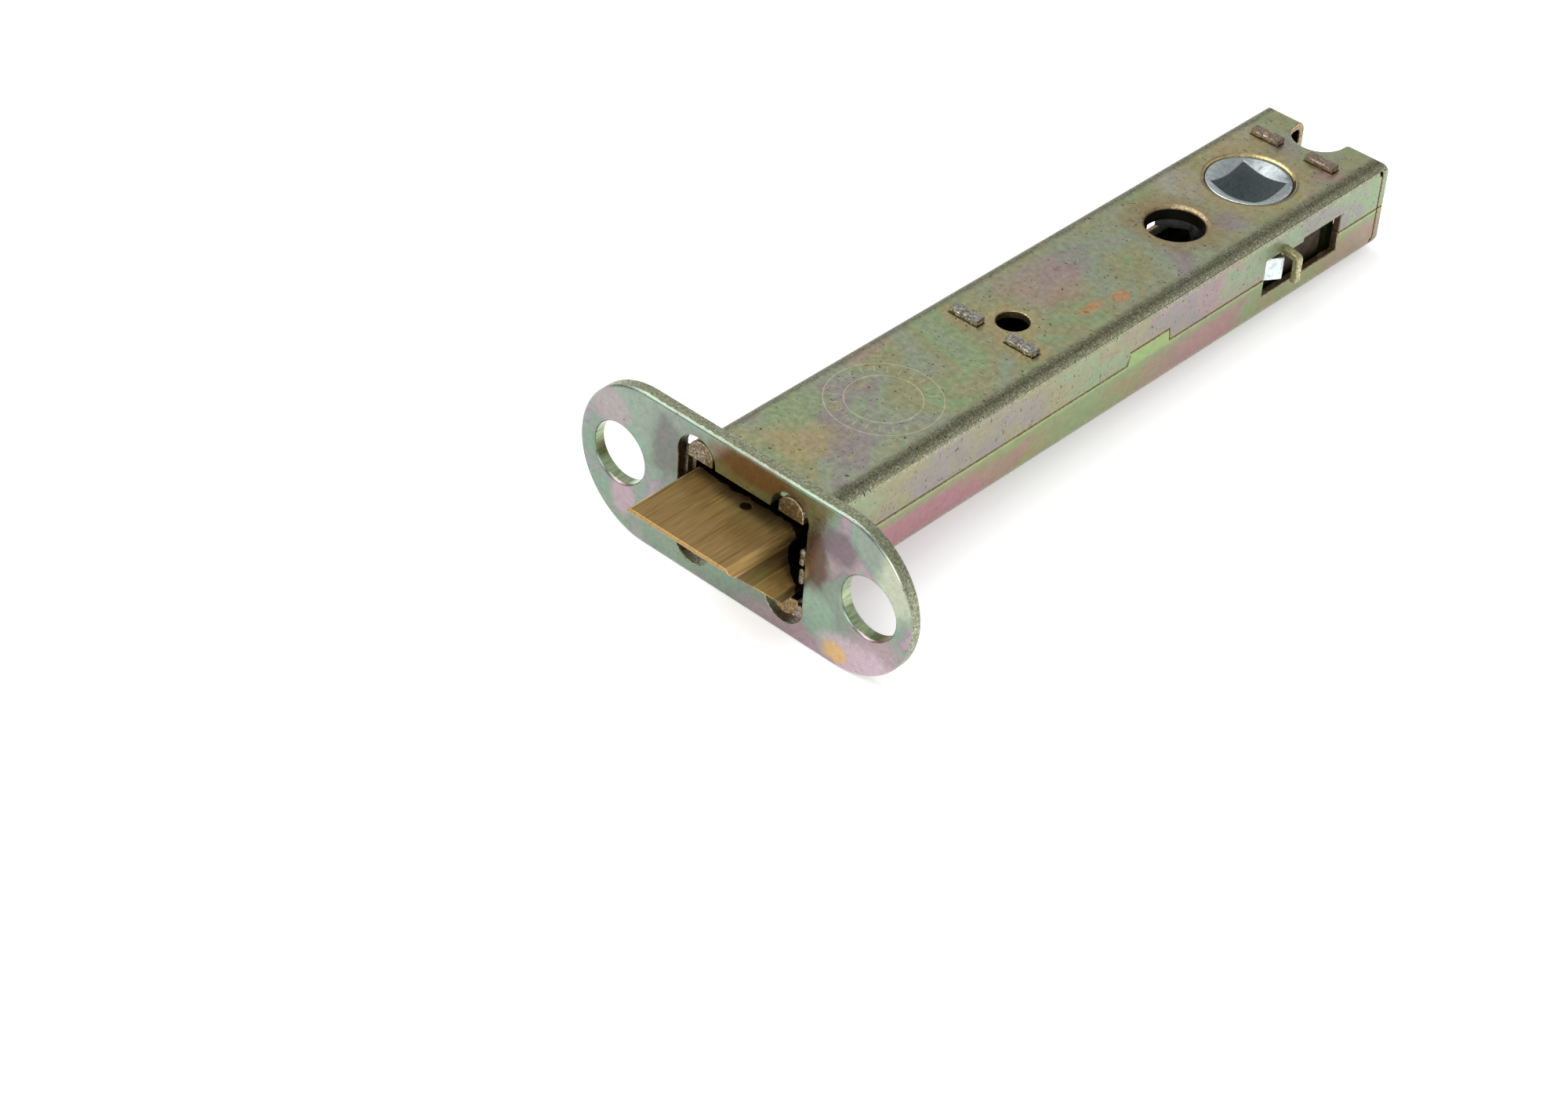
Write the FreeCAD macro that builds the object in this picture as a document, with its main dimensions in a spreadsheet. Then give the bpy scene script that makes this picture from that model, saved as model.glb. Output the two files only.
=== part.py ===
import FreeCAD, Part
import Sketcher
import math
import os

# Tubular mortice latch. Millimetres. The origin is the centre of the forend's front face.
# +X runs along the forend, +Y back along the case, +Z is the spindle's axis.
# The bolt points to -Y and its bevel faces -Z.

SIZES = {
    # forend plate
    "forend_length": 59.5,
    "forend_width": 24.7,
    "forend_sheet": 2.0,
    "forend_screw_inset": 7.3,
    "forend_screw_bore": 9.3,
    "opening_side_gap": 0.15,
    "opening_overlap": 0.7,
    "lobe_inset_x": 3.05,
    "lobe_inset_z": 0.45,
    "lobe_bore": 6.7,
    # case
    "case_tail": 19.8,
    "case_width": 22.7,
    "case_height": 15.0,
    "sheet": 1.2,
    "bend": 2.0,
    "seam": -0.3,
    "seam_gap": 0.1,
    "seam_step_start": 66.6,
    "seam_step_length": 9.8,
    "seam_step_height": 2.1,
    "flange_gap": 0.3,
    "front_tab_width": 4.4,
    "front_tab_inset": 3.25,
    "front_tab_reach": 1.5,
    "front_tab_foot": 0.9,
    "side_tab_height": 2.0,
    "side_tab_offset": 0.6,
    "forend_edge": 0.3,
    # holes through the case
    "backset": 108.0,
    "fixing_pitch": 17.5,
    "fixing_bore": 9.0,
    "collar_depth": 1.1,
    "collar_wall": 0.8,
    "rim_edge": 0.4,
    "small_hole_y": 54.2,
    "small_hole_bore": 4.9,
    "notch_width": 8.7,
    # side windows
    "window_top": 2.85,
    "window_bottom": -3.3,
    "window_ahead": 9.6,
    "window_behind": 8.6,
    "web_ahead": 5.8,
    "web_behind": 0.5,
    "lug_width": 1.3,
    "lug_sheet": 1.0,
    "lug_slope": 0.6,
    "lug_end": -1.4,
    "lug_clearance": 0.3,
    # cross plates between the shells
    "spring_plate_y": 49.4,
    "rear_plate_gap": 10.2,
    "rear_frame_edge": 1.3,
    "cross_sheet": 1.6,
    "cross_tab_width": 5.0,
    "cross_tab_inset": 3.2,
    "cross_tab_proud": 0.9,
    "stake_width": 1.4,
    "stake_depth": 0.5,
    "slot_clearance": 0.1,
    "plate_clearance": 0.25,
    # bolt
    "throw": 12.0,
    "bolt_rear": 16.5,
    "bolt_top_gap": 1.3,
    "bolt_bottom_gap": 0.3,
    "bolt_gap": 0.25,
    "bolt_top_step": 0.55,
    "bolt_corner": 1.25,
    "bolt_lip_corner": 1.1,
    "bolt_lip_height": 2.4,
    "waist_clearance": 0.52,
    "nose_flat": 0.6,
    "bevel_foot": 1.5,
    "bolt_spring_bore": 7.2,
    "bolt_spring_seat": 12.0,
    "toe_clearance": 0.2,
    "toe_wall": 2.1,
    # draw frame
    "bar_sheet": 1.3,
    "bar_gap": 0.4,
    "bar_half_fork": 1.5,
    "bar_half_height": 4.2,
    "bar_tail": 9.4,
    "toe_depth": 1.5,
    "bar_window_lead": 5.6,
    "bar_window_clearance": 0.4,
    "arm_clearance": 0.12,
    "bridge_clearance": 0.4,
    "bridge_sheet": 2.0,
    "bridge_half_height": 4.6,
    "tenon_half_height": 1.3,
    # springs and guides
    "return_spring_gap": 0.65,
    "return_spring_diameter": 6.4,
    "return_spring_wire": 0.8,
    "return_spring_turns": 5,
    "bolt_spring_diameter": 5.6,
    "bolt_spring_wire": 0.7,
    "bolt_spring_turns": 8,
    "guide_diameter": 3.0,
    "guide_clearance": 0.1,
    "guide_end": 55.0,
    # follower
    "hub_diameter": 13.0,
    "hub_recess": 0.3,
    "hub_clearance": 0.1,
    "shoulder_diameter": 15.2,
    "shoulder_clearance": 0.25,
    "socket": 8.1,
    "dish_depth": 1.0,
    "dish_ring": 0.45,
    "arm_proud": 1.45,
    "arm_width": 3.26,
    "arm_height": 3.8,
    "arm_angle": 32.5,
}

# how finely a spring's wire is drawn, and how far a closed turn climbs in wire diameters
STEPS_A_TURN = 12
WIRE_SIDES = 6
CLOSED_TURN_GAIN = 1.05

# places that several pieces share, worked out from the sizes
CASE_END = "(dim.backset + dim.case_tail)"
SCREW_X = "(dim.forend_length / 2 - dim.forend_screw_inset)"
SIDE_INSIDE = "(dim.case_width / 2 - dim.sheet)"
ROOF = "(dim.case_height / 2 - dim.sheet)"
BAR_INSIDE = "(%s - dim.bar_gap - dim.bar_sheet)" % SIDE_INSIDE
FIXING_Y = "(dim.backset - dim.fixing_pitch)"
REAR_PLATE_Y = "(dim.backset + dim.rear_plate_gap)"
TOE_FRONT = "(dim.bolt_rear - dim.toe_wall - dim.slot_clearance - dim.bar_sheet)"
BRIDGE_FRONT = "(dim.bolt_rear + dim.throw + dim.bridge_clearance)"
CROSS_HALF_WIDTH = "(%s - dim.plate_clearance)" % BAR_INSIDE
CROSS_TAB_X = "(%s - dim.cross_tab_inset)" % CROSS_HALF_WIDTH
RETURN_SPRING_X = "(%s - dim.return_spring_gap - dim.return_spring_diameter / 2)" % BAR_INSIDE
HUB_HEIGHT = "(dim.case_height - 2 * dim.hub_recess)"
ARM_RADIUS = "(dim.case_width / 2 + dim.arm_proud)"
ARM_REACH = "sqrt(%s ^ 2 + (dim.arm_width / 2) ^ 2)" % ARM_RADIUS
ARM_BACK = "dim.arm_width / 2 / cos(dim.arm_angle)"
ARM_CONTACT = "(dim.backset - %s * tan(dim.arm_angle) + %s + dim.arm_clearance)" % (
    BAR_INSIDE, ARM_BACK)
BAR_WINDOW_FRONT = "(dim.backset - sqrt(%s ^ 2 - %s ^ 2) - dim.bar_window_lead)" % (
    ARM_REACH, BAR_INSIDE)
WEB_DROP = "(dim.arm_height / 2 + dim.lug_clearance)"
BOLT_TOP = "(%s - dim.bolt_top_gap)" % ROOF
BOLT_BOTTOM = "-(%s - dim.bolt_bottom_gap)" % ROOF
BOLT_MIDDLE = "((dim.bolt_bottom_gap - dim.bolt_top_gap) / 2)"
WAIST_END = "(%s + dim.bolt_lip_height)" % BOLT_BOTTOM
BOLT_HALF_LIP = "(%s - dim.bolt_gap)" % SIDE_INSIDE
BOLT_HALF_TOP = "(%s - dim.bolt_top_step)" % BOLT_HALF_LIP
WAIST_DEPTH = "((%s + %s) / 2 - %s + dim.waist_clearance)" % (
    BOLT_HALF_TOP, BOLT_HALF_LIP, BAR_INSIDE)
WAIST_CHORD = "(%s - dim.bolt_corner - %s)" % (BOLT_TOP, WAIST_END)
WAIST_RADIUS = "((%s / 2) ^ 2 + %s ^ 2) / (2 * %s)" % (WAIST_CHORD, WAIST_DEPTH, WAIST_DEPTH)

doc = FreeCAD.newDocument("door_latch")


def fill_sheet():
    """put every driving dimension in the spreadsheet under its own alias"""
    sheet = doc.addObject("Spreadsheet::Sheet", "dim")
    for row, (name, value) in enumerate(SIZES.items(), start=1):
        sheet.set("A%d" % row, name)
        sheet.set("B%d" % row, str(value))
        sheet.setAlias("B%d" % row, name)
    doc.recompute()
    return sheet


dim = fill_sheet()


def number(expression):
    """today's value of an expression, for a sketch's first layout"""
    return float(dim.evalExpression(expression))


def new_body(name):
    body = doc.addObject("PartDesign::Body", name)
    body.Label = name
    return body


def sketch_on(body, plane_role, name, offset=None):
    """an empty sketch on one of the body's own origin planes"""
    plane = [f for f in body.Origin.OriginFeatures if f.Role == plane_role][0]
    sketch = body.newObject("Sketcher::SketchObject", name)
    sketch.AttachmentSupport = (plane, [""])
    sketch.MapMode = "FlatFace"
    if offset is not None:
        sketch.setExpression("AttachmentOffset.Base.z", offset)
    return sketch


def hold(sketch, geometry, point, x, y):
    """tie one sketch point to two expressions measured from the origin"""
    for kind, expression in (("DistanceX", x), ("DistanceY", y)):
        index = sketch.addConstraint(
            Sketcher.Constraint(kind, -1, 1, geometry, point, number(expression)))
        sketch.setExpression("Constraints[%d]" % index, expression)


def arc_between(start, end, radius, turn):
    """the short arc from start to end; turn is 1 for a left turn and -1 for a right turn"""
    chord = end - start
    middle = (start + end) * 0.5
    rise = math.sqrt(max(radius ** 2 - (chord.Length / 2) ** 2, 0.0))
    side = FreeCAD.Vector(-chord.y, chord.x, 0).normalize() * turn
    centre = middle + side * rise
    angles = [math.atan2(p.y - centre.y, p.x - centre.x) for p in (start, end)]
    if turn < 0:
        angles.reverse()
    circle = Part.Circle(centre, FreeCAD.Vector(0, 0, 1), radius)
    return Part.ArcOfCircle(circle, angles[0], angles[1])


def outline(sketch, corners):
    """a closed ring through corners (x, y) or (x, y, radius, turn).

    The last two make the edge that arrives at the corner an arc."""
    first = sketch.GeometryCount
    places = [FreeCAD.Vector(number(c[0]), number(c[1]), 0) for c in corners]
    ends = []
    for i, corner in enumerate(corners):
        start, end = places[i - 1], places[i]
        if len(corner) == 2:
            sketch.addGeometry(Part.LineSegment(start, end))
            ends.append((1, 2))
        else:
            sketch.addGeometry(arc_between(start, end, number(corner[2]), corner[3]))
            ends.append((1, 2) if corner[3] > 0 else (2, 1))
            index = sketch.addConstraint(
                Sketcher.Constraint("Radius", first + i, number(corner[2])))
            sketch.setExpression("Constraints[%d]" % index, corner[2])
    for i, corner in enumerate(corners):
        following = (i + 1) % len(corners)
        sketch.addConstraint(Sketcher.Constraint(
            "Coincident", first + i, ends[i][1], first + following, ends[following][0]))
        hold(sketch, first + i, ends[i][1], corner[0], corner[1])


def rectangle(sketch, x1, x2, y1, y2):
    outline(sketch, [(x1, y1), (x2, y1), (x2, y2), (x1, y2)])


def circle(sketch, x, y, radius):
    index = sketch.addGeometry(Part.Circle(
        FreeCAD.Vector(number(x), number(y), 0), FreeCAD.Vector(0, 0, 1), number(radius)))
    hold(sketch, index, 3, x, y)
    bound = sketch.addConstraint(Sketcher.Constraint("Radius", index, number(radius)))
    sketch.setExpression("Constraints[%d]" % bound, radius)


def pad(body, sketch, length, side="along"):
    """side: along the sketch's normal, against it, or both ways about it"""
    feature = body.newObject("PartDesign::Pad", sketch.Name + "_pad")
    feature.Profile = sketch
    feature.setExpression("Length", length)
    feature.Reversed = side == "against"
    if side == "both":
        feature.SideType = "Symmetric"
    return feature


def pocket(body, sketch, length=None, side="both"):
    """cut to a length, or through all where no length is given"""
    feature = body.newObject("PartDesign::Pocket", sketch.Name + "_cut")
    feature.Profile = sketch
    if length is None:
        feature.Type = "ThroughAll"
    else:
        feature.setExpression("Length", length)
    # a pocket runs against its sketch's normal unless it is reversed
    feature.Reversed = side == "along"
    if side == "both":
        feature.SideType = "Symmetric"
    return feature


def edges_where(shape, test):
    """names of the edges whose middle point and ends pass a test"""
    names = []
    for i, edge in enumerate(shape.Edges, start=1):
        middle = edge.valueAt((edge.FirstParameter + edge.LastParameter) / 2)
        if test(middle, edge):
            names.append("Edge%d" % i)
    return names


def ease(body, size, test):
    """break the edges that pass a test with a small chamfer"""
    doc.recompute()
    base = body.Tip
    names = edges_where(base.Shape, test)
    feature = body.newObject("PartDesign::Chamfer", body.Name + "_eased")
    feature.Base = (base, names)
    feature.setExpression("Size", size)
    return feature


def make_forend():
    """the oval plate: two screw holes and an opening with a relief lobe at each corner"""
    body = new_body("forend_plate")
    blank = sketch_on(body, "XZ_Plane", "forend_blank")
    end = "dim.forend_width / 2"
    run = "(dim.forend_length - dim.forend_width) / 2"
    rectangle(blank, "-(%s)" % run, run, "-(%s)" % end, end)
    pad(body, blank, "dim.forend_sheet", "against")
    for name, sign in (("left", "-"), ("right", "")):
        disc = sketch_on(body, "XZ_Plane", "forend_end_" + name)
        circle(disc, "%s(%s)" % (sign, run), "0", end)
        pad(body, disc, "dim.forend_sheet", "against")
    opening = sketch_on(body, "XZ_Plane", "forend_opening")
    wide = "(dim.case_width / 2 + dim.opening_side_gap)"
    tall = "(dim.case_height / 2 - dim.opening_overlap)"
    rectangle(opening, "-" + wide, wide, "-" + tall, tall)
    pocket(body, opening)
    for name, sx, sz in (("a", "", ""), ("b", "-", ""), ("c", "-", "-"), ("d", "", "-")):
        lobe = sketch_on(body, "XZ_Plane", "forend_lobe_" + name)
        circle(lobe, sx + "(dim.case_width / 2 - dim.lobe_inset_x)",
               sz + "(dim.case_height / 2 - dim.lobe_inset_z)", "dim.lobe_bore / 2")
        pocket(body, lobe)
    screws = sketch_on(body, "XZ_Plane", "forend_screws")
    for sign in ("", "-"):
        circle(screws, sign + SCREW_X, "0", "dim.forend_screw_bore / 2")
    pocket(body, screws)
    half = SIZES["forend_screw_bore"] / 2
    end_radius = SIZES["forend_width"] / 2

    def is_front_rim(middle, edge):
        """the plate's outer rim and the screw holes' rims on the front face"""
        if abs(middle.y) > 0.001:
            return False
        if isinstance(edge.Curve, Part.Circle):
            radius = edge.Curve.Radius
            return abs(radius - half) < 0.01 or abs(radius - end_radius) < 0.01
        return abs(abs(middle.z) - end_radius) < 0.01

    ease(body, "dim.forend_edge", is_front_rim)
    return body


def u_section(sketch, sign):
    """the shell's channel section in X and Z, open at the seam"""
    wide = "dim.case_width / 2"
    high = "%s * dim.case_height / 2" % sign
    inner = "(%s - dim.sheet)" % wide
    roof = "(%s - %s * dim.sheet)" % (high, sign)
    knee = "(%s - %s * dim.bend)" % (high, sign)
    foot = seam_edge(sign)
    inside_bend = "(dim.bend - dim.sheet)"
    turn = -sign
    outline(sketch, [
        ("-" + wide, foot),
        ("-" + wide, knee),
        ("-(%s - dim.bend)" % wide, high, "dim.bend", turn),
        ("%s - dim.bend" % wide, high),
        (wide, knee, "dim.bend", turn),
        (wide, foot),
        (inner, foot),
        (inner, knee),
        ("%s - %s" % (inner, inside_bend), roof, inside_bend, -turn),
        ("-(%s - %s)" % (inner, inside_bend), roof),
        ("-" + inner, knee, inside_bend, -turn),
        ("-" + inner, foot),
    ])


def seam_edge(sign):
    """the height of a shell's free edge beside the seam"""
    return "(dim.seam + %d * dim.seam_gap / 2)" % sign


def rear_flange(body, name, sign):
    """the end flange, bent down from the shell's flat over the open end"""
    high = "%d * dim.case_height / 2" % sign
    roof = "(%s - %d * dim.sheet)" % (high, sign)
    bend = CASE_END + " - dim.bend"
    knee = "(%s - %d * dim.bend)" % (high, sign)
    section = sketch_on(body, "YZ_Plane", name + "_flange")
    outline(section, [
        (bend, high),
        (CASE_END, knee, "dim.bend", -sign),
        (CASE_END, seam_edge(sign)),
        (CASE_END + " - dim.sheet", seam_edge(sign)),
        (CASE_END + " - dim.sheet", knee),
        (bend, roof, "dim.bend - dim.sheet", sign),
    ])
    pad(body, section, "dim.case_width", "both")
    # its upper corners are as round as the channel's
    corners = sketch_on(body, "XZ_Plane", name + "_flange_corners", "-(%s)" % bend)
    wide = "dim.case_width / 2"
    for side in (1, -1):
        outer = "%d * (%s + dim.sheet)" % (side, wide)
        above = high + " + %d * dim.sheet" % sign
        outline(corners, [
            ("%d * (%s - dim.bend)" % (side, wide), above),
            (outer, above),
            (outer, knee),
            ("%d * %s" % (side, wide), knee),
            ("%d * (%s - dim.bend)" % (side, wide), high, "dim.bend", side * sign),
        ])
    pocket(body, corners, "dim.bend + dim.sheet", "against")


def side_tails(body, name, sign):
    """the side walls run on past the bend and stop just short of the flange"""
    wide = "dim.case_width / 2"
    knee = "(%d * (dim.case_height / 2 - dim.bend))" % sign
    tails = sketch_on(body, "XZ_Plane", name + "_tails", "-(%s - dim.bend)" % CASE_END)
    rectangle(tails, wide + " - dim.sheet", wide, seam_edge(sign), knee)
    rectangle(tails, "-" + wide, "-(%s - dim.sheet)" % wide, seam_edge(sign), knee)
    pad(body, tails, "dim.bend - dim.sheet - dim.flange_gap", "against")


def front_tabs(body, name, sign):
    """tabs that reach through the forend's opening and are upset there.

    Those of the shell's flat spread into the lobes as round heads."""
    roof = "%d * (dim.case_height / 2 - dim.sheet)" % sign
    foot = "(%s + %d * dim.front_tab_foot)" % (roof, sign)
    half = "dim.front_tab_width / 2"
    tabs = sketch_on(body, "XZ_Plane", name + "_front_tabs", "-dim.forend_sheet")
    for side in ("", "-"):
        middle = side + "(dim.case_width / 2 - dim.front_tab_inset)"
        tip = "(%s + %d * %s)" % (foot, sign, half)
        outline(tabs, [
            ("%s - %s" % (middle, half), roof),
            ("%s + %s" % (middle, half), roof),
            ("%s + %s" % (middle, half), foot),
            (middle, tip, half, sign),
            ("%s - %s" % (middle, half), foot, half, sign),
        ])
    wall = "dim.case_width / 2"
    low = "(dim.seam + %d * dim.side_tab_offset)" % sign
    for side in ("", "-"):
        rectangle(tabs, side + SIDE_INSIDE, side + wall,
                  low, "(%s + %d * dim.side_tab_height)" % (low, sign))
    pad(body, tabs, "dim.front_tab_reach", "along")


def flat_cuts(body, name, sign):
    """holes through the shell's flat: follower, fixings, small hole, slots and rear notch"""
    holes = sketch_on(body, "XY_Plane", name + "_holes")
    circle(holes, "0", "dim.backset", "dim.hub_diameter / 2 + dim.hub_clearance")
    circle(holes, "0", FIXING_Y, "dim.fixing_bore / 2")
    circle(holes, "0", "dim.small_hole_y", "dim.small_hole_bore / 2")
    for plate in ("dim.spring_plate_y", REAR_PLATE_Y):
        for side in ("", "-"):
            middle = side + CROSS_TAB_X
            half = "(dim.cross_tab_width / 2 + dim.slot_clearance)"
            rectangle(holes, "%s - %s" % (middle, half), "%s + %s" % (middle, half),
                      plate + " - dim.slot_clearance",
                      plate + " + dim.cross_sheet + dim.slot_clearance")
    pocket(body, holes)
    # the rear notch: round at the bottom and open through the end flange
    notch = sketch_on(body, "XY_Plane", name + "_notch_round")
    centre = "dim.backset + dim.fixing_pitch"
    circle(notch, "0", centre, "dim.notch_width / 2")
    pocket(body, notch)
    mouth = sketch_on(body, "XY_Plane", name + "_notch_mouth")
    rectangle(mouth, "-dim.notch_width / 2", "dim.notch_width / 2",
              centre, CASE_END + " + dim.sheet")
    pocket(body, mouth)


def fixing_collar(body, name, sign):
    """the fixing hole's rim, drawn in as a short collar"""
    roof = "%d * (dim.case_height / 2 - dim.sheet)" % sign
    collar = sketch_on(body, "XY_Plane", name + "_collar", roof)
    for wall in ("dim.collar_wall", "0"):
        circle(collar, "0", FIXING_Y, "dim.fixing_bore / 2 + " + wall)
    pad(body, collar, "dim.collar_depth", "against" if sign > 0 else "along")


def ease_rims(body, sign):
    """the outer rims of the follower hole and the fixing hole are rolled in"""
    height = SIZES["case_height"] / 2 * sign
    rims = (SIZES["hub_diameter"] / 2 + SIZES["hub_clearance"], SIZES["fixing_bore"] / 2)

    def is_rim(middle, edge):
        round_edge = isinstance(edge.Curve, Part.Circle)
        return (round_edge and abs(middle.z - height) < 0.01
                and any(abs(edge.Curve.Radius - r) < 0.01 for r in rims))

    ease(body, "dim.rim_edge", is_rim)


def seam_step(sketch):
    """the raised step where the lower shell's wall reaches up into the upper shell's"""
    start = "dim.seam_step_start"
    end = "(dim.seam_step_start + dim.seam_step_length)"
    top = "dim.seam + dim.seam_step_height"
    foot = "dim.seam"
    outline(sketch, [
        (start, foot),
        (end, foot),
        (end + " - dim.sheet / 3", top),
        (start + " + dim.sheet / 2", top),
    ])


def make_upper_shell():
    """the upper half of the case, with the windows for the follower's arms"""
    body = new_body("upper_shell")
    section = sketch_on(body, "XZ_Plane", "upper_section", "-dim.forend_sheet")
    u_section(section, 1)
    pad(body, section, CASE_END + " - dim.bend - dim.forend_sheet", "against")
    rear_flange(body, "upper", 1)
    side_tails(body, "upper", 1)
    front_tabs(body, "upper", 1)
    flat_cuts(body, "upper", 1)
    fixing_collar(body, "upper", 1)
    step = sketch_on(body, "YZ_Plane", "upper_step")
    seam_step(step)
    pocket(body, step)
    windows = sketch_on(body, "YZ_Plane", "upper_windows")
    below = "dim.seam - dim.sheet"
    front = "dim.backset - dim.window_ahead"
    rear = "dim.backset + dim.window_behind"
    web_front = "dim.backset - dim.web_ahead"
    web_rear = "dim.backset - dim.web_behind"
    outline(windows, [
        (front, below),
        (rear, below),
        (rear, "dim.window_top"),
        (web_rear, "dim.window_top"),
        (web_rear, WEB_DROP),
        (web_front, WEB_DROP),
        (web_front, "dim.window_top"),
        (front, "dim.window_top"),
    ])
    pocket(body, windows)
    for name, side in (("right", 1), ("left", -1)):
        arm_lug(body, name, side)
    ease_rims(body, 1)
    return body


def arm_lug(body, name, side):
    """a tongue of the side wall, bent outwards so that the arm's tip can pass behind it"""
    wall = "%d * %s" % (side, SIDE_INSIDE)
    inside = "%d * (%s + dim.lug_clearance)" % (side, ARM_REACH)
    outside = "%d * (%s + dim.lug_clearance + dim.lug_sheet)" % (side, ARM_REACH)
    lug = sketch_on(body, "XZ_Plane", "lug_" + name, "-(dim.backset - dim.web_ahead)")
    outline(lug, [
        (wall, WEB_DROP + " + dim.lug_slope"),
        (inside, WEB_DROP),
        (inside, "dim.lug_end"),
        (outside, "dim.lug_end"),
        (outside, WEB_DROP),
        (inside, WEB_DROP + " + dim.lug_sheet", "dim.lug_sheet", side),
        (wall, WEB_DROP + " + dim.lug_slope + dim.lug_sheet"),
    ])
    pad(body, lug, "dim.lug_width", "against")


def make_lower_shell():
    """the lower half of the case"""
    body = new_body("lower_shell")
    section = sketch_on(body, "XZ_Plane", "lower_section", "-dim.forend_sheet")
    u_section(section, -1)
    pad(body, section, CASE_END + " - dim.bend - dim.forend_sheet", "against")
    rear_flange(body, "lower", -1)
    side_tails(body, "lower", -1)
    front_tabs(body, "lower", -1)
    flat_cuts(body, "lower", -1)
    fixing_collar(body, "lower", -1)
    for name, side in (("right", 1), ("left", -1)):
        wall_step(body, name, side)
    windows = sketch_on(body, "YZ_Plane", "lower_windows")
    rectangle(windows, "dim.backset - dim.window_ahead", "dim.backset + dim.window_behind",
              "dim.window_bottom", "dim.seam + dim.sheet")
    pocket(body, windows)
    ease_rims(body, -1)
    return body


def wall_step(body, name, side):
    """the raised step of the lower shell's side wall"""
    inner = "%d * (dim.case_width / 2) - %s * dim.sheet" % (side, "1" if side > 0 else "0")
    step = sketch_on(body, "YZ_Plane", "lower_step_" + name, inner)
    start = "(dim.seam_step_start + dim.seam_gap)"
    end = "(dim.seam_step_start + dim.seam_step_length - dim.seam_gap)"
    foot = seam_edge(-1) + " - dim.seam_gap"
    top = "dim.seam + dim.seam_step_height - dim.seam_gap"
    outline(step, [
        (start, foot),
        (end, foot),
        (end + " - dim.sheet / 3", top),
        (start + " + dim.sheet / 2", top),
    ])
    pad(body, step, "dim.sheet", "along")


def make_cross_plate(name, face_y, guided):
    """a wall across the case: its four tabs pass through slots in the shells and are staked.

    The front one guides the springs' rods, and the rear one is an open frame."""
    body = new_body(name)
    plate = sketch_on(body, "XZ_Plane", name + "_wall", "-%s" % face_y)
    rectangle(plate, "-" + CROSS_HALF_WIDTH, CROSS_HALF_WIDTH, "-" + ROOF, ROOF)
    pad(body, plate, "dim.cross_sheet", "against")
    tabs = sketch_on(body, "XZ_Plane", name + "_tabs", "-%s" % face_y)
    tip = "(dim.case_height / 2 + dim.cross_tab_proud)"
    for side in ("", "-"):
        middle = side + CROSS_TAB_X
        rectangle(tabs, middle + " - dim.cross_tab_width / 2",
                  middle + " + dim.cross_tab_width / 2", "-" + tip, tip)
    pad(body, tabs, "dim.cross_sheet", "against")
    stakes = sketch_on(body, "XZ_Plane", name + "_stakes")
    for side in ("", "-"):
        for sign in ("", "-"):
            middle = side + CROSS_TAB_X
            outline(stakes, [
                (middle + " - dim.stake_width / 2", sign + tip),
                (middle, "%s(%s - dim.stake_depth)" % (sign, tip)),
                (middle + " + dim.stake_width / 2", sign + tip),
            ])
    pocket(body, stakes)
    if not guided:
        opening = sketch_on(body, "XZ_Plane", name + "_opening")
        across = "(%s - dim.rear_frame_edge)" % CROSS_HALF_WIDTH
        up = "(%s - dim.rear_frame_edge)" % ROOF
        rectangle(opening, "-" + across, across, "-" + up, up)
        pocket(body, opening)
    else:
        holes = sketch_on(body, "XZ_Plane", name + "_guide_holes")
        for side in ("", "-"):
            circle(holes, side + RETURN_SPRING_X, "0",
                   "dim.guide_diameter / 2 + dim.guide_clearance")
        pocket(body, holes)
    return body


def make_bolt():
    """the brass bolt: one waisted profile with a bevel, side pockets and a spring bore"""
    body = new_body("latch_bolt")
    profile = sketch_on(body, "XZ_Plane", "bolt_profile", "-dim.bolt_rear")
    knee = BOLT_TOP + " - dim.bolt_corner"
    lip_top = BOLT_BOTTOM + " + dim.bolt_lip_corner"
    right = [
        (BOLT_HALF_TOP + " - dim.bolt_corner", BOLT_TOP),
        (BOLT_HALF_TOP, knee, "dim.bolt_corner", -1),
        (BOLT_HALF_LIP, WAIST_END, WAIST_RADIUS, 1),
        (BOLT_HALF_LIP, lip_top),
        (BOLT_HALF_LIP + " - dim.bolt_lip_corner", BOLT_BOTTOM, "dim.bolt_lip_corner", -1),
    ]
    left = [
        ("-(%s - dim.bolt_lip_corner)" % BOLT_HALF_LIP, BOLT_BOTTOM),
        ("-" + BOLT_HALF_LIP, lip_top, "dim.bolt_lip_corner", -1),
        ("-" + BOLT_HALF_LIP, WAIST_END),
        ("-" + BOLT_HALF_TOP, knee, WAIST_RADIUS, 1),
        ("-(%s - dim.bolt_corner)" % BOLT_HALF_TOP, BOLT_TOP, "dim.bolt_corner", -1),
    ]
    outline(profile, right + left)
    pad(body, profile, "dim.bolt_rear + dim.throw", "along")
    bevel = sketch_on(body, "YZ_Plane", "bolt_bevel")
    before = "-(dim.throw + dim.bolt_corner)"
    outline(bevel, [
        (before, BOLT_TOP + " - dim.nose_flat"),
        ("-dim.throw", BOLT_TOP + " - dim.nose_flat"),
        ("-dim.bevel_foot", BOLT_BOTTOM),
        ("-dim.bevel_foot", BOLT_BOTTOM + " - dim.bolt_corner"),
        (before, BOLT_BOTTOM + " - dim.bolt_corner"),
    ])
    pocket(body, bevel)
    for name, side in (("right", 1), ("left", -1)):
        toe_pocket(body, name, side)
    bore = sketch_on(body, "XZ_Plane", "bolt_bore", "-dim.bolt_rear")
    circle(bore, "0", BOLT_MIDDLE, "dim.bolt_spring_bore / 2")
    pocket(body, bore, "dim.bolt_spring_seat", "along")
    return body


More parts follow.
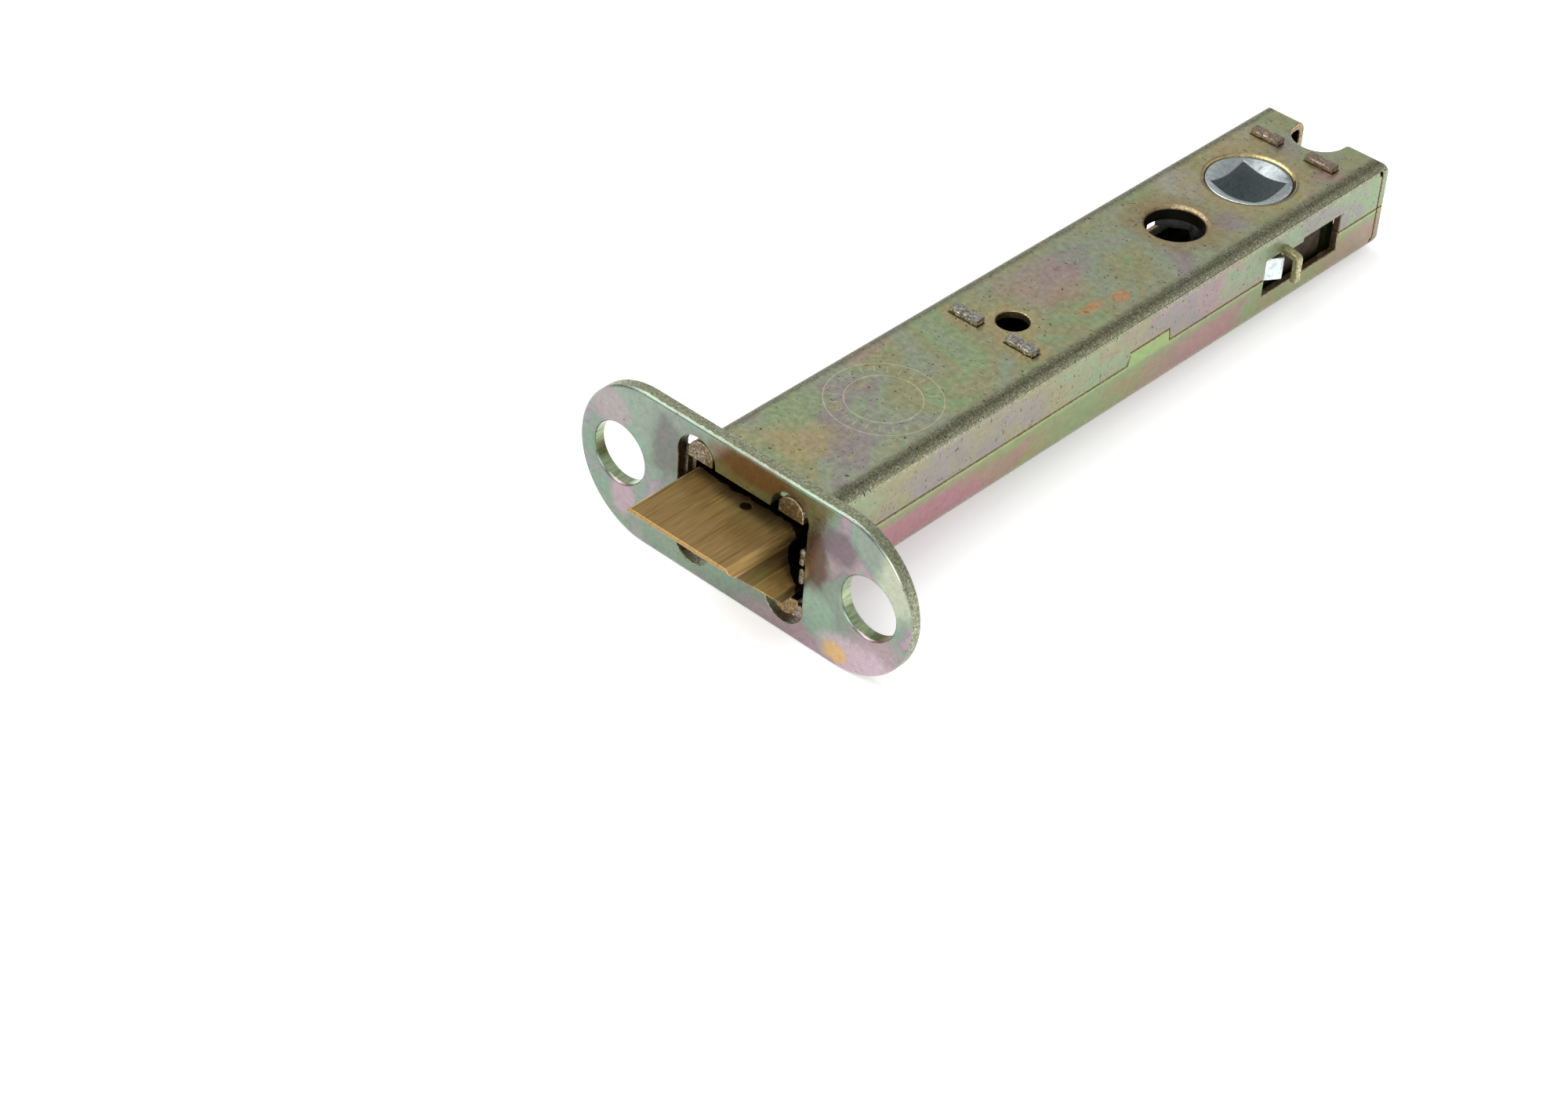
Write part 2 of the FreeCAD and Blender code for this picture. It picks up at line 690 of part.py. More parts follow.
def toe_pocket(body, name, side):
    """a pocket in the bolt's side: the bar's toe pulls on its rear wall and has lost motion"""
    cut = sketch_on(body, "YZ_Plane", "toe_pocket_" + name,
                    "%d * (%s - dim.toe_depth - dim.toe_clearance)" % (side, BAR_INSIDE))
    half = "(dim.bar_half_fork + dim.toe_clearance)"
    rectangle(cut, TOE_FRONT + " - dim.throw - dim.toe_clearance",
              "dim.bolt_rear - dim.toe_wall", "-" + half, half)
    pocket(body, cut, "dim.case_width / 2", "along" if side > 0 else "against")


def make_draw_bar(name, side):
    """a steel bar beside the bolt: toe in front, window for the follower's arm behind"""
    body = new_body(name)
    start = BAR_INSIDE if side > 0 else "-(%s + dim.bar_sheet)" % BAR_INSIDE
    bar = sketch_on(body, "YZ_Plane", name + "_profile", start)
    fork = "dim.bar_half_fork"
    tall = "dim.bar_half_height"
    bar_rear = ARM_CONTACT + " + dim.bar_tail"
    outline(bar, [
        (TOE_FRONT, "-" + fork),
        (BRIDGE_FRONT, "-" + fork),
        (BRIDGE_FRONT, "-" + tall),
        (bar_rear, "-" + tall),
        (bar_rear, tall),
        (BRIDGE_FRONT, tall),
        (BRIDGE_FRONT, fork),
        (TOE_FRONT, fork),
    ])
    pad(body, bar, "dim.bar_sheet", "along")
    toe = sketch_on(body, "XY_Plane", name + "_toe")
    inner = "%d * (%s - dim.toe_depth)" % (side, BAR_INSIDE)
    outer = "%d * %s" % (side, BAR_INSIDE)
    rectangle(toe, inner, outer, TOE_FRONT, TOE_FRONT + " + dim.bar_sheet")
    pad(body, toe, "2 * dim.bar_half_fork", "both")
    windows = sketch_on(body, "YZ_Plane", name + "_window")
    half = "(dim.arm_height / 2 + dim.bar_window_clearance)"
    rectangle(windows, BAR_WINDOW_FRONT, ARM_CONTACT, "-" + half, half)
    tenon = "(dim.tenon_half_height + dim.slot_clearance / 2)"
    rectangle(windows, BRIDGE_FRONT, BRIDGE_FRONT + " + dim.bridge_sheet",
              "-" + tenon, tenon)
    pocket(body, windows)
    return body


def make_draw_bridge():
    """the plate across the bars: it carries the bolt spring and pushes the return springs"""
    body = new_body("draw_bridge")
    wide = BAR_INSIDE
    outside = "(%s + dim.bar_sheet)" % BAR_INSIDE
    tall = "dim.bridge_half_height"
    tenon = "dim.tenon_half_height"
    plate = sketch_on(body, "XZ_Plane", "bridge_plate", "-" + BRIDGE_FRONT)
    outline(plate, [
        ("-" + outside, "-" + tenon), ("-" + wide, "-" + tenon), ("-" + wide, "-" + tall),
        (wide, "-" + tall), (wide, "-" + tenon), (outside, "-" + tenon),
        (outside, tenon), (wide, tenon), (wide, tall),
        ("-" + wide, tall), ("-" + wide, tenon), ("-" + outside, tenon),
    ])
    pad(body, plate, "dim.bridge_sheet", "against")
    holes = sketch_on(body, "XZ_Plane", "bridge_holes")
    for side in ("", "-"):
        circle(holes, side + RETURN_SPRING_X, "0", "dim.guide_diameter / 2")
    pocket(body, holes)
    return body


def make_guide(name, side):
    """a rod fixed in the bridge that slides through the spring plate inside its spring"""
    body = new_body(name)
    rod = sketch_on(body, "XZ_Plane", name + "_rod", "-" + BRIDGE_FRONT)
    circle(rod, "%d * %s" % (side, RETURN_SPRING_X), "0", "dim.guide_diameter / 2")
    pad(body, rod, "dim.guide_end - " + BRIDGE_FRONT, "against")
    return body


def make_spring(name, x, z, front, length, diameter, wire, turns):
    """a compression coil along Y: a closed turn at each end and open turns between"""
    thick = number(wire)
    reach = number(length)
    mean = (number(diameter) - thick) / 2
    closed_rise = thick * CLOSED_TURN_GAIN
    open_rise = reach - thick - 2 * closed_rise
    height = thick / 2
    angle = 0.0
    rings = [wire_ring(mean, angle, height, thick / 2)]
    for rise, count in ((closed_rise, 1), (open_rise, int(number(turns))), (closed_rise, 1)):
        steps = STEPS_A_TURN * count
        for i in range(steps):
            angle += 2 * math.pi / STEPS_A_TURN
            height += rise / steps
            rings.append(wire_ring(mean, angle, height, thick / 2))
    feature = doc.addObject("Part::Feature", name)
    feature.Label = name
    feature.Shape = Part.makeLoft(rings, True, True)
    feature.Placement.Base = FreeCAD.Vector(number(x), number(front), number(z))
    return feature


def wire_ring(mean, angle, height, radius):
    """the wire's section at one place on the coil, as a polygon in the plane of the axis

    Two of its corners point along the axis, so that the end turns reach their seats."""
    outward = FreeCAD.Vector(math.cos(angle), 0, math.sin(angle))
    centre = outward * mean + FreeCAD.Vector(0, height, 0)
    corners = []
    for i in range(WIRE_SIDES + 1):
        turn = 2 * math.pi * (i + 0.5) / WIRE_SIDES
        corners.append(centre + outward * (radius * math.cos(turn))
                       + FreeCAD.Vector(0, radius * math.sin(turn), 0))
    return Part.makePolygon(corners)


def make_follower():
    """the zinc follower: journals, shoulder, two forward arms and a dished square socket"""
    body = new_body("follower")
    body.setExpression("Placement.Base.y", "dim.backset")
    hub = sketch_on(body, "XY_Plane", "follower_hub")
    circle(hub, "0", "0", "dim.hub_diameter / 2")
    pad(body, hub, HUB_HEIGHT, "both")
    shoulder = sketch_on(body, "XY_Plane", "follower_shoulder")
    circle(shoulder, "0", "0", "dim.shoulder_diameter / 2")
    pad(body, shoulder, "dim.case_height - 2 * dim.sheet - 2 * dim.shoulder_clearance", "both")
    for name, side in (("right", 1), ("left", -1)):
        follower_arm(body, name, side)
    socket = sketch_on(body, "XY_Plane", "follower_socket")
    half = "dim.socket / 2"
    rectangle(socket, "-" + half, half, "-" + half, half)
    pocket(body, socket)
    for name, sign in (("top", 1), ("bottom", -1)):
        socket_dish(body, name, sign)
    return body


def follower_arm(body, name, side):
    """one arm, pointing sideways and forward, with its end square to it"""
    arm = sketch_on(body, "XY_Plane", "follower_arm_" + name)
    corners = []
    for reach, half in (("0", "-"), (ARM_RADIUS, "-"), (ARM_RADIUS, ""), ("0", "")):
        offset = half + "dim.arm_width / 2"
        x = "%d * (%s * cos(dim.arm_angle) + %s * sin(dim.arm_angle))" % (side, reach, offset)
        y = "%s * cos(dim.arm_angle) - %s * sin(dim.arm_angle)" % (offset, reach)
        corners.append((x, y))
    outline(arm, corners)
    pad(body, arm, "dim.arm_height", "both")


def socket_dish(body, name, sign):
    """a cone that leads the spindle into the socket and leaves a thin ring at the rim"""
    section = sketch_on(body, "XZ_Plane", "dish_" + name)
    face = "%d * %s / 2" % (sign, HUB_HEIGHT)
    floor = "%d * (%s / 2 - dim.dish_depth)" % (sign, HUB_HEIGHT)
    outline(section, [
        ("0", face),
        ("dim.hub_diameter / 2 - dim.dish_ring", face),
        ("dim.socket / 2", floor),
        ("0", floor),
    ])
    groove = body.newObject("PartDesign::Groove", "dish_cut_" + name)
    groove.Profile = section
    groove.ReferenceAxis = (section, ["V_Axis"])
    groove.Angle = 360
    return groove


def check_and_write(parts):
    """every object must be sound before any file is written"""
    doc.recompute()
    for item in doc.Objects:
        bad = [state for state in item.State if state in ("Invalid", "Error")]
        if bad:
            raise RuntimeError("%s is %s" % (item.Name, bad))
    os.makedirs("parts", exist_ok=True)
    for part in parts:
        shape = part.Shape
        if shape.isNull() or not shape.isValid() or len(shape.Solids) != 1:
            raise RuntimeError("%s has no single sound solid" % part.Label)
        shape.exportStep(os.path.join("parts", part.Label + ".step"))
        box = shape.BoundBox
        print("%-22s %9.1f mm3  x %.2f..%.2f  y %.2f..%.2f  z %.2f..%.2f" % (
            part.Label, shape.Volume, box.XMin, box.XMax, box.YMin, box.YMax, box.ZMin, box.ZMax))


def main():
    spring_back = BRIDGE_FRONT + " + dim.bridge_sheet"
    parts = [
        make_forend(),
        make_upper_shell(),
        make_lower_shell(),
        make_cross_plate("spring_plate", "dim.spring_plate_y", True),
        make_cross_plate("rear_plate", REAR_PLATE_Y, False),
        make_bolt(),
        make_draw_bar("draw_bar_right", 1),
        make_draw_bar("draw_bar_left", -1),
        make_draw_bridge(),
        make_guide("spring_guide_right", 1),
        make_guide("spring_guide_left", -1),
        make_follower(),
    ]
    for name, side in (("return_spring_right", 1), ("return_spring_left", -1)):
        parts.append(make_spring(
            name, "%d * %s" % (side, RETURN_SPRING_X), "0", spring_back,
            "dim.spring_plate_y - (%s)" % spring_back, "dim.return_spring_diameter",
            "dim.return_spring_wire", "dim.return_spring_turns"))
    seat = "dim.bolt_rear - dim.bolt_spring_seat"
    parts.append(make_spring(
        "bolt_spring", "0", BOLT_MIDDLE, seat,
        "%s - (%s)" % (BRIDGE_FRONT, seat), "dim.bolt_spring_diameter",
        "dim.bolt_spring_wire", "dim.bolt_spring_turns"))
    check_and_write(parts)


main()
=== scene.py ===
import math

import bmesh
import bpy
from mathutils import Matrix, Vector
from mathutils import noise as lumps


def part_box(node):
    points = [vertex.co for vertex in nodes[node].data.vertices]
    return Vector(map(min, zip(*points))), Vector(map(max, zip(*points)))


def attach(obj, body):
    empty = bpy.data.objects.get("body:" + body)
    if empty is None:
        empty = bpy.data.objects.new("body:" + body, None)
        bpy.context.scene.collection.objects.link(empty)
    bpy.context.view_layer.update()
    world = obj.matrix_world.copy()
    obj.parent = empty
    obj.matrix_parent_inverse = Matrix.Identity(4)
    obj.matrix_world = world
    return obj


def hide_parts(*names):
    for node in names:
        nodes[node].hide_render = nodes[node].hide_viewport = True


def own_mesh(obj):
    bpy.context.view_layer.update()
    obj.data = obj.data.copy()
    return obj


MM = 0.001

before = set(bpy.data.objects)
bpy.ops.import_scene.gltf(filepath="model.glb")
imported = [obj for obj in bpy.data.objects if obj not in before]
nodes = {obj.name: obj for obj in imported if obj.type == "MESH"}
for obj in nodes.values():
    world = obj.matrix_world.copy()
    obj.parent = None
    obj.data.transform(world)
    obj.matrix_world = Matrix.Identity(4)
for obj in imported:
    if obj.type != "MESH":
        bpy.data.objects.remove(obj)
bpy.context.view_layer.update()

# the photograph's viewpoint, in the model's frame
CAMERA_PLACE = Vector((247.83, -279.49, 293.49)) * MM
CAMERA_RIGHT = Vector((0.72916, 0.68224, 0.05363))
CAMERA_DOWN = Vector((0.45623, -0.42620, -0.78116))
FOCAL_LENGTH = 83.57
SENSOR_WIDTH = 36.0
CLIP_START = 0.01
CLIP_END = 20.0

# the forend, in millimetres: its outer edge and its screw holes lie beyond the two last sizes
FOREND_HALF_LENGTH = 29.75
FOREND_HALF_HEIGHT = 12.35
SCREW_X = 22.45
SCREW_REACH = 5.2
EDGE_FROM = 12.0
SCREWS_FROM = 14.0

# the case and the places along it, in millimetres
CASE_HALF_WIDTH = 11.35
CASE_HALF_HEIGHT = 7.5
CASE_END = 127.8
SHEET = 1.2
BEND = 2.0
BACKSET = 108.0
FIXING_Y = 90.5
SMALL_HOLE_Y = 54.2
SPRING_PLATE_Y = 49.4
BRIDGE_Y = 28.9
DIAL_Y = 27.4
FRONT_TAB_END = 2.1

# the rounded rim of the follower's bore and the shaded part of the fixing hole, in millimetres
HUB_BORE = 6.6
HUB_RIM = 0.6
HUB_RIM_FROM_Z = 6.9
FIXING_REACH = 5.4
FIXING_TO_Z = 7.05

# the follower and the bolt, in millimetres
ARMS_FROM = 8.0
ARM_HALF_HEIGHT = 2.5
DISH_RADIUS = 6.2
SOCKET_HALF = 4.1
SHANK_Y = 0.7

# how closely a face's centre has to lie where its kind of face lies, in millimetres
FLAT_SLACK = 0.03
HUB_SLACK = 0.05
ROUND_SLACK = 0.06
LUG_SLACK = 0.1

# a normal's part along an axis: of an upright face, a leaning one and a level one
UPRIGHT = 0.05
LEANING = 0.3
LEVEL = 0.95

# edges over the first angle are rounded, shading breaks at the second, flats join below the third
ROUNDED_ANGLE = math.radians(35)
BROKEN_ANGLE = math.radians(28)
FLAT_ANGLE = math.radians(0.5)
WELD_DISTANCE = 0.002 * MM

# the two etched rings and the ticks between them: radii and soft borders in millimetres
OUTER_RING = 8.2
INNER_RING = 5.4
RING_WIDTH = 0.14
TICKS = 24
TICK_SIDES = (0.055, 0.03)
TICKS_BEGIN = (6.1, 6.2)
TICKS_END = (7.5, 7.4)
TOP_FACE = (7.2, 7.4)

# soft borders on the case, in millimetres: its bends, side walls, seam and the rear plate's tabs
BEND_ACROSS = (8.6, 9.9)
BEND_UP = (5.3, 6.7)
SIDE_WALL = (10.9, 11.25)
SEAM_BELOW = (-2.6, -1.2)
SEAM_EDGE = (-1.1, -0.6)
REAR_TABS = (7.1, 7.4)

# the spread heads of the staked tabs: place and half sizes in millimetres
HEAD_X = 5.0
HEAD_Z = 7.85
HEAD_HALF = (2.6, 0.95, 0.52)
HEAD_SQUARENESS = 3.6

# the beads in the forend's opening: place across, height and size in millimetres
BEADS = ((10.75, 1.9, 0.50), (10.6, 0.55, 0.42), (10.75, -1.2, 0.45), (10.65, -2.4, 0.5))
BEAD_Y = 0.55
BEAD_SQUARENESS = 2.3

# the upset metal beside the opening: place and half sizes in millimetres
RIDGE_PLACE = (11.25, 1.65, 0.0)
RIDGE_HALF = (0.38, 0.42, 6.9)
BURR_PLACE = (10.6, 1.1, -8.1)
BURR_HALF = (0.9, 0.6, 1.15)

# how a lumpy head is drawn
HEAD_CUTS = 9
LUMP_SCALE = 1.1
PINCH_WIDTH = 0.2

# the springs: turns, wire in millimetres, and the share of the length kept when closed up
RETURN_SPRING = {"turns": 5, "wire": 0.8, "keep": 0.351}
BOLT_SPRING = {"turns": 8, "wire": 0.7, "keep": 0.508}
CLOSED_PITCH = 1.05
COIL_STEPS = 28
WIRE_SIDES = 10

# what the latch lies on: the forend's lower edge and the rear plate's lower tabs
REST_FRONT_Z = -FOREND_HALF_HEIGHT * MM
REST_REAR_Y = 119.0 * MM
REST_REAR_Z = -8.5 * MM
FLOOR_GAP = 0.02 * MM
FLOOR_HALF = 3.0

# light
WORLD_STRENGTH = 0.62
FLOOR_GLOW = 0.35
LIGHT_AIM = (0, 55, 0)
WHITE = (1.0, 1.0, 1.0, 1.0)
FLOOR_COLOUR = (0.86, 0.86, 0.87, 1.0)


# Shader helpers

def new_material(name):
    material = bpy.data.materials.new(name)
    material.use_nodes = True
    tree = material.node_tree
    shader = tree.nodes["Principled BSDF"]
    return material, tree, shader


def add(tree, kind, **values):
    node = tree.nodes.new(kind)
    for key, value in values.items():
        if key in node.inputs:
            node.inputs[key].default_value = value
        else:
            setattr(node, key, value)
    return node


def feed(tree, socket, value):
    """value is a socket, a number or a colour"""
    if isinstance(value, bpy.types.NodeSocket):
        tree.links.new(value, socket)
    elif isinstance(value, tuple):
        socket.default_value = (*value, 1.0)
    else:
        socket.default_value = value


def place(tree, scale=(1, 1, 1), offset=(0, 0, 0)):
    """object coordinates in millimetres, stretched and moved"""
    coordinates = add(tree, "ShaderNodeTexCoord")
    mapping = add(tree, "ShaderNodeMapping")
    mapping.inputs["Scale"].default_value = tuple(s / MM for s in scale)
    mapping.inputs["Location"].default_value = offset
    tree.links.new(coordinates.outputs["Object"], mapping.inputs["Vector"])
    return mapping.outputs["Vector"]


def split(tree):
    """the three object coordinates in millimetres"""
    node = add(tree, "ShaderNodeSeparateXYZ")
    tree.links.new(place(tree), node.inputs["Vector"])
    return node.outputs["X"], node.outputs["Y"], node.outputs["Z"]


def noise(tree, vector, scale, detail, roughness=0.5, distortion=0.0):
    node = add(tree, "ShaderNodeTexNoise", Scale=scale, Detail=detail,
               Roughness=roughness, Distortion=distortion)
    tree.links.new(vector, node.inputs["Vector"])
    return node.outputs["Fac"]


def ramp(tree, value, stops):
    """stops: (place, colour or grey)"""
    node = add(tree, "ShaderNodeValToRGB")
    elements = node.color_ramp.elements
    while len(elements) < len(stops):
        elements.new(0.5)
    for element, (spot_at, colour) in zip(elements, stops):
        element.position = spot_at
        if not isinstance(colour, tuple):
            colour = (colour, colour, colour)
        element.color = (*colour, 1.0)
    tree.links.new(value, node.inputs["Fac"])
    return node.outputs["Color"]


def mix(tree, factor, first, second, mode="MIX"):
    node = add(tree, "ShaderNodeMix", data_type="RGBA", blend_type=mode)
    for socket, value in zip((node.inputs[0], node.inputs[6], node.inputs[7]),
                             (factor, first, second)):
        feed(tree, socket, value)
    return node.outputs[2]


def tinted(tree, colour, tint):
    return mix(tree, 1.0, colour, tint, "MULTIPLY")


def calculate(tree, operation, first, second=0.0):
    node = add(tree, "ShaderNodeMath", operation=operation)
    feed(tree, node.inputs[0], first)
    feed(tree, node.inputs[1], second)
    return node.outputs[0]


def both(tree, first, second):
    return calculate(tree, "MULTIPLY", first, second)


def size_of(tree, value):
    return calculate(tree, "ABSOLUTE", value)


def centred(tree, field):
    """a noise moved down by half, to lie about 0"""
    return calculate(tree, "SUBTRACT", field, 0.5)


def fade(tree, value, start, end):
    """0 before start and 1 after end; start may be the larger"""
    node = add(tree, "ShaderNodeMapRange", interpolation_type="SMOOTHSTEP")
    flip = start > end
    node.inputs["From Min"].default_value = min(start, end)
    node.inputs["From Max"].default_value = max(start, end)
    node.inputs["To Min"].default_value = 1.0 if flip else 0.0
    node.inputs["To Max"].default_value = 0.0 if flip else 1.0
    tree.links.new(value, node.inputs["Value"])
    return node.outputs["Result"]


def set_metal(tree, shader, colour, roughness, height, strength, depth_mm):
    """a bare or plated metal's colour, roughness and fine relief"""
    feed(tree, shader.inputs["Base Color"], colour)
    feed(tree, shader.inputs["Roughness"], roughness)
    shader.inputs["Metallic"].default_value = 1.0
    relief = add(tree, "ShaderNodeBump", Strength=strength, Distance=depth_mm * MM)
    tree.links.new(height, relief.inputs["Height"])
    tree.links.new(relief.outputs["Normal"], shader.inputs["Normal"])


def patch(tree, centre, reach, ragged=0.5, soft=0.35, grain=0.3):
    """1 inside an ellipsoid with half axes reach about centre, with a ragged soft edge"""
    local = place(tree, scale=tuple(1 / r for r in reach),
                  offset=tuple(-c / r for c, r in zip(centre, reach)))
    length = add(tree, "ShaderNodeVectorMath", operation="LENGTH")
    tree.links.new(local, length.inputs[0])
    wobble = centred(tree, noise(tree, place(tree), grain, detail=3.0))
    distance = calculate(tree, "ADD", length.outputs["Value"], both(tree, wobble, 2 * ragged))
    return fade(tree, distance, 1 + soft, 1 - soft)


def add_patches(tree, colour, patches):
    """patches: (centre, reach, colour, strength); a narrow one has a finer edge"""
    for centre, reach, tint, strength in patches:
        grain = max(0.3, 0.9 / min(reach))
        mask = both(tree, patch(tree, centre, reach, grain=grain), strength)
        colour = mix(tree, mask, colour, tint)
    return colour


def add_specks(tree, colour, scale, share, dark, stretch=(1, 1, 1)):
    """fine pits and dark dots; returns the colour and the specks' mask"""
    field = noise(tree, place(tree, scale=stretch), scale, detail=2.0, roughness=0.6)
    specks = fade(tree, field, share, share + 0.03)
    return mix(tree, specks, colour, dark), specks


# Colours of the yellow passivation's interference film, with painted shade, painted reflections
# and a painted highlight among them

OLIVE = (0.38, 0.37, 0.21)
GREEN = (0.33, 0.42, 0.23)
GREY_GREEN = (0.35, 0.40, 0.28)
TAN = (0.45, 0.37, 0.19)
BROWN = (0.36, 0.26, 0.13)
LILAC = (0.36, 0.31, 0.30)
ROSE = (0.50, 0.30, 0.29)
ORANGE = (0.60, 0.30, 0.14)
RUBBED_TAN = (0.52, 0.42, 0.28)
RUBBED_GREY = (0.50, 0.46, 0.39)
PALE_GREEN = (0.255, 0.325, 0.200)
PALE_LILAC = (0.280, 0.250, 0.245)
PALE_PINK = (0.350, 0.250, 0.235)
PALE_TAN = (0.310, 0.280, 0.175)
SEAM_GREEN = (0.36, 0.50, 0.22)
WALL_ROSE = (0.405, 0.205, 0.265)
LOWER_TINT = (0.90, 0.93, 0.76)
FOREND_GREEN = (0.190, 0.275, 0.205)
FOREND_GREY = (0.215, 0.245, 0.205)
FOREND_LILAC = (0.240, 0.215, 0.230)
FOREND_PINK = (0.340, 0.250, 0.275)
FOREND_PALE = (0.480, 0.375, 0.420)
FOREND_SHADE = (0.115, 0.125, 0.090)
FOREND_SEA = (0.16, 0.225, 0.165)
FOREND_LEAF = (0.15, 0.235, 0.155)
# painted shade left of the opening's lobes
FOREND_LEFT_SHADE = (0.125, 0.125, 0.11)
# painted reflections of the brass bolt, above the opening and beside its right side
FOREND_BOLT_REFLECTION = (0.15, 0.10, 0.06)
FOREND_FLANK_REFLECTION = (0.10, 0.06, 0.045)
FOREND_PLUM = (0.14, 0.105, 0.12)
FOREND_MINT = (0.25, 0.36, 0.27)
FOREND_AMBER = (0.58, 0.38, 0.16)
FOREND_CREAM = (0.44, 0.46, 0.34)
# painted highlight: the bright gold on the far side of the follower's bore rim
RIM_HIGHLIGHT_GOLD = (0.62, 0.55, 0.22)
STRAW = (0.40, 0.50, 0.30)
DIAL_LIGHT = (0.60, 0.56, 0.40)
# the dark of the pits and specks, and of the painted shade round the follower's bore
SPECK_AND_SHADE_DARK = (0.055, 0.05, 0.04)


# Tones of the bare metals, with the painted shade of the bends, the bolt's shank, the case's
# inside and the works

# the bends' granular tones, kept dark as painted shade
BEND_DARK = (0.145, 0.150, 0.098)
BEND_MIDDLE = (0.255, 0.252, 0.162)
BEND_LIGHT = (0.60, 0.58, 0.42)
BRASS_TONES = ((0.32, (0.19, 0.120, 0.044)), (0.44, (0.31, 0.197, 0.074)),
               (0.60, (0.36, 0.238, 0.092)), (0.72, (0.42, 0.290, 0.125)))
BRASS_SHADE = (0.17, 0.13, 0.05)
BRASS_PIT = (0.03, 0.018, 0.01)
SHANK_SHADE = (0.012, 0.010, 0.007)
CAST_TONES = ((0.32, (0.50, 0.60, 0.63)), (0.48, (0.74, 0.82, 0.83)), (0.62, (0.92, 1.0, 1.0)))
REAR_GREENS = ((0.36, (0.30, 0.36, 0.12)), (0.66, (0.62, 0.70, 0.32)))
INSIDE_SHADE = (0.025, 0.023, 0.015)
WORKS_SHADE = (0.045, 0.032, 0.02)
SPRING_GREY = (0.34, 0.34, 0.33)

# dark, middle and light grains of each sheared or upset metal
GRAINS = {
    "forend_rim": ((0.13, 0.14, 0.09), (0.27, 0.29, 0.19), (0.54, 0.54, 0.40)),
    # the opening's walls: darker than the forend's rim, as painted shade inside the opening
    "opening_wall": ((0.05, 0.04, 0.02), (0.13, 0.11, 0.07), (0.3, 0.28, 0.2)),
    "case_cut_edge": ((0.17, 0.13, 0.07), (0.34, 0.26, 0.15), (0.55, 0.44, 0.28)),
    "lower_tab": ((0.11, 0.07, 0.03), (0.25, 0.17, 0.08), (0.45, 0.33, 0.18)),
    "front_tab": ((0.06, 0.05, 0.03), (0.15, 0.12, 0.07), (0.42, 0.38, 0.28)),
    "lug_zinc": ((0.22, 0.22, 0.11), (0.46, 0.46, 0.24), (0.7, 0.7, 0.46)),
    "grey_stake": ((0.10, 0.10, 0.09), (0.29, 0.28, 0.25), (0.66, 0.64, 0.58)),
    "bead_metal": ((0.07, 0.065, 0.05), (0.22, 0.21, 0.17), (0.58, 0.56, 0.48)),
    "brown_stake": ((0.15, 0.11, 0.08), (0.27, 0.21, 0.16), (0.46, 0.40, 0.34)),
}
GRAIN_STOPS = (0.36, 0.52, 0.66)


# Materials

def levelled(tones, level):
    """the stops of a ramp, all colours times level"""
    return tuple((spot_at, tuple(c * level for c in tone)) for spot_at, tone in tones)


def film(tree, palette, scale, offset):
    """interference colours that drift with the film's thickness"""
    field = noise(tree, place(tree, offset=offset), scale, detail=3.0, distortion=1.0)
    return ramp(tree, field, palette)


def finish_plating(tree, shader, colour, specks, roughness, grain_direction=(1, 0.06, 1)):
    """the common surface of the plated sheet: fine cloudiness, rolled grain and pits"""
    cloud = noise(tree, place(tree), 1.1, detail=5.0, roughness=0.65)
    colour = tinted(tree, colour, ramp(tree, cloud, ((0.3, 0.86), (0.7, 1.12))))
    grain = noise(tree, place(tree, scale=grain_direction), 6.0, detail=2.0)
    colour = tinted(tree, colour, ramp(tree, grain, ((0.3, 0.93), (0.7, 1.06))))
    rough = ramp(tree, cloud, ((0.3, roughness - 0.05), (0.7, roughness + 0.07)))
    height = calculate(tree, "SUBTRACT", both(tree, grain, 0.3), specks)
    set_metal(tree, shader, colour, rough, height, strength=0.22, depth_mm=0.05)


def bend_mask(tree, x, z):
    """the rounded long edges of the case"""
    wobble = centred(tree, noise(tree, place(tree), 0.25, detail=3.0))
    beside = calculate(tree, "ADD", size_of(tree, x), wobble)
    return both(tree, fade(tree, beside, *BEND_ACROSS), fade(tree, size_of(tree, z), *BEND_UP))


def bend_grain_and_shade(tree, colour, x, z):
    """stretched plating on a bend: granular, with bright points, painted shade darkest beside the
    flat and a painted highlight lower down
    """
    grit = noise(tree, place(tree), 3.4, detail=4.0, roughness=0.68)
    grain = ramp(tree, grit, ((0.38, BEND_DARK), (0.53, BEND_MIDDLE), (0.67, BEND_LIGHT)))
    # painted shade darkest just beside the flat, and a painted highlight lower down the bend
    depth = ramp(tree, fade(tree, size_of(tree, z), CASE_HALF_HEIGHT, CASE_HALF_HEIGHT - BEND),
                 ((0.0, 0.75), (0.03, 0.54), (0.11, 0.80), (0.27, 1.12), (0.8, 1.25)))
    shaded_grain = tinted(tree, grain, depth)
    return mix(tree, both(tree, bend_mask(tree, x, z), 0.9), colour, shaded_grain)


def ring_line(tree, distance, radius, width):
    """1 on a thin circle"""
    off = size_of(tree, calculate(tree, "SUBTRACT", distance, radius))
    return fade(tree, off, width, width / 3)


def from_point(tree, x, y, centre_y):
    """distance from an upright axis on the case's middle line"""
    dy = calculate(tree, "SUBTRACT", y, centre_y)
    return calculate(tree, "SQRT", calculate(tree, "ADD", both(tree, x, x), both(tree, dy, dy)))


